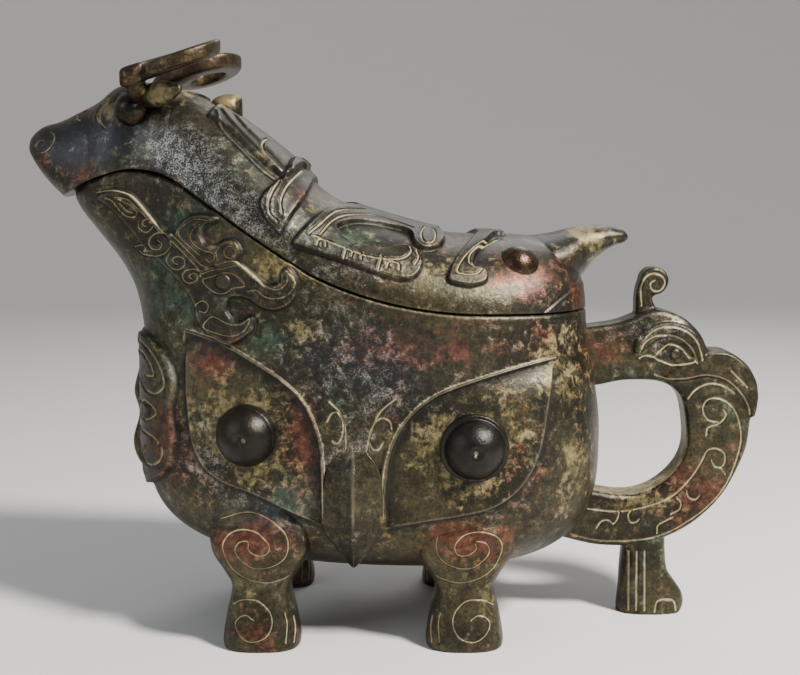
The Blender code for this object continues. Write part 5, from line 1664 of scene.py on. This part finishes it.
def make_lid_eyes(dark, rear):
    x, z = EYE_CENTRE
    bm = gather([ball((x, -lid_side(x, z) - EYE_PROUD, z), EYE_RADIUS)], True)
    finish_piece("head_eyes", bm, "lid", "lid", dark, zoned=0.0)
    x, z = REAR_EYE
    sunk = REAR_EYE_SINK * math.sqrt(0.5)
    bm = gather([ball((x, -lid_side(x, z) + sunk, z - sunk), REAR_EYE_RADIUS)], True)
    finish_piece("rear_eyes", bm, "lid", "lid", rear, zoned=0.0)


vessel_marks = [Figure(smooth_line(DRAGON_BODY, (), 4), 1.8, 0.7, 0.55)]
vessel_marks += lines(DRAGON_LINES, DRAGON_STROKE) + lines(DRAGON_RINGS, DRAGON_STROKE, True)
vessel_marks.append(Figure(circle(*DRAGON_PUPIL), 0.8, 0.6))
vessel_marks += lines(NOSE_LINES, NOSE_STROKE) + lines(BEAK_RIBS, RIB_STROKE)
mask_outline = [(u * MASK_SCALE, z) for u, z in MASK_PLATE]
mask_lines = [[(u * MASK_SCALE, z) for u, z in points] for points in MASK_LINES]
breast_marks = [Figure(smooth_line(mask_outline, (0, 11), 4), MASK_HEIGHT, 0.8, 0.4)]
breast_marks += lines(mask_lines, MASK_STROKE)
breast_marks.append(Figure(circle(MASK_EYE[0] * MASK_SCALE, MASK_EYE[1], MASK_EYE[2]), 1.0, 0.8))

bowl_bronze = patina("bowl bronze", (0.026, 0.024, 0.017), 0.60, 0.60, 0.30, 0.20, 0.8, 0.4)
beak_bronze = patina("worn beak bronze", (0.022, 0.021, 0.017), 0.35, 0.25, 0.15, 0.10, 1.2, 0.5)
lid_bronze = patina("lid bronze", (0.027, 0.025, 0.020), 0.40, 0.35, 0.25, 0.25, 0.9, 0.40)
boss_bronze = patina("polished bosses", (0.013, 0.012, 0.010), -0.6, -1.0, -1.0, -1.0, 1.6)
rear_eye_bronze = patina("red-brown rear eyes", (0.040, 0.016, 0.011), 0.2, -0.8, -0.5, -0.5, 1.5)
horn_bronze = patina("red horn bronze", (0.032, 0.017, 0.011), 0.1, -0.2, 0.2, 0.0, 0.8)

make_bowl(vessel_marks, breast_marks, bowl_bronze)
make_mask_nose(bowl_bronze)
make_beaks(beak_bronze)
make_bosses(boss_bronze)
make_legs(bowl_bronze)
make_handle(bowl_bronze)

lid_figures = ((WING, (0,)), (REAR_BROW, ()), (LEAF, (3, 8)), (NAPE_BAND, (0, 4, 5, 9)))
lid_marks = [Figure(on_lid_flat(smooth_line(points, corners, 4)), LID_FIGURE_HEIGHT, 0.7, 0.5)
             for points, corners in lid_figures]
lid_marks += [lid_stroke(points, LID_STROKE) for points in LID_LINES]
lid_marks += [lid_stroke(points, NAPE_STROKE) for points in NAPE_LINES]
lid_marks.append(Stroke(on_lid_flat(circle(*WING_RING)), *LID_STROKE, False, True))
lid_marks.append(lid_stroke(CHEEK_LINE, CHEEK_STROKE))
make_lid_body(lid_marks, lid_bronze)
make_flange(lid_bronze)
make_horns(horn_bronze)
make_ears(lid_bronze)
make_tail(lid_bronze)
make_lid_eyes(boss_bronze, rear_eye_bronze)

# Camera, light and floor

CAMERA_TARGET = Vector((0.0014, 0.0, 0.101))
CAMERA_DISTANCE = 0.457
CAMERA_ELEVATION = 7.0
FOCAL_PX = 1269.0
PHOTO_WIDTH = 800.0
SENSOR_MM = 36.0
FLOOR_HALF = 3.0
FLOOR_CELLS = 120
SWEEP_START = 1.2
SWEEP_RADIUS = 0.9
FLOOR_COLOR = (0.62, 0.61, 0.59, 1)
FLOOR_ROUGHNESS = 0.85
SKY_COLOR = (0.75, 0.78, 0.82, 1)
SKY_STRENGTH = 0.48
LIGHT_TARGET = (0, 0, 0.09)
# Name, place, size, watts and colour of each lamp
LAMPS = (
    ("key", (0.52, -0.40, 0.72), 0.17, 25.0, (1.0, 0.97, 0.92)),
    ("fill", (-0.75, -0.55, 0.45), 0.6, 2.6, (0.82, 0.90, 1.0)),
    ("back", (0.25, 0.7, 0.75), 0.5, 2.2, (1.0, 1.0, 1.0)),
)


def aim(thing, place, target):
    thing.location = place
    thing.rotation_euler = (Vector(target) - Vector(place)).to_track_quat("-Z", "Y").to_euler()


def add_lamp(name, place, size, watts, color):
    lamp = bpy.data.lights.new(name, "AREA")
    lamp.shape = "DISK"
    lamp.size = size
    lamp.energy = watts
    lamp.color = color
    aim(add_object(name, lamp), place, LIGHT_TARGET)


def add_camera():
    camera = bpy.data.cameras.new("camera")
    camera.sensor_width = SENSOR_MM
    camera.lens = FOCAL_PX / PHOTO_WIDTH * SENSOR_MM
    viewer = add_object("camera", camera)
    rise = math.radians(CAMERA_ELEVATION)
    place = CAMERA_TARGET + Vector((0, -math.cos(rise), math.sin(rise))) * CAMERA_DISTANCE
    aim(viewer, place, CAMERA_TARGET)
    bpy.context.scene.camera = viewer


def add_floor():
    """Pale floor that sweeps up all round, so that no edge of it shows from any side."""
    bm = bmesh.new()
    bmesh.ops.create_grid(bm, x_segments=FLOOR_CELLS, y_segments=FLOOR_CELLS, size=FLOOR_HALF)
    for vert in bm.verts:
        reach = vert.co.length
        past = reach - SWEEP_START
        if past > 0:
            turn = min(past / SWEEP_RADIUS, math.pi / 2)
            kept = (SWEEP_START + SWEEP_RADIUS * math.sin(turn)) / reach
            rise = SWEEP_RADIUS * (1 - math.cos(turn)) + max(0.0, past - SWEEP_RADIUS * math.pi / 2)
            vert.co = (vert.co.x * kept, vert.co.y * kept, rise)
    mesh = bpy.data.meshes.new("floor")
    bm.to_mesh(mesh)
    bm.free()
    pale = bpy.data.materials.new("pale floor")
    pale.use_nodes = True
    shader = pale.node_tree.nodes["Principled BSDF"]
    shader.inputs["Base Color"].default_value = FLOOR_COLOR
    shader.inputs["Roughness"].default_value = FLOOR_ROUGHNESS
    mesh.materials.append(pale)
    mesh.polygons.foreach_set("use_smooth", [True] * len(mesh.polygons))
    add_object("floor", mesh)


def add_sky():
    world = bpy.data.worlds.new("studio")
    world.use_nodes = True
    background = world.node_tree.nodes["Background"]
    background.inputs["Color"].default_value = SKY_COLOR
    background.inputs["Strength"].default_value = SKY_STRENGTH
    bpy.context.scene.world = world


add_camera()
add_floor()
add_sky()
for lamp in LAMPS:
    add_lamp(*lamp)
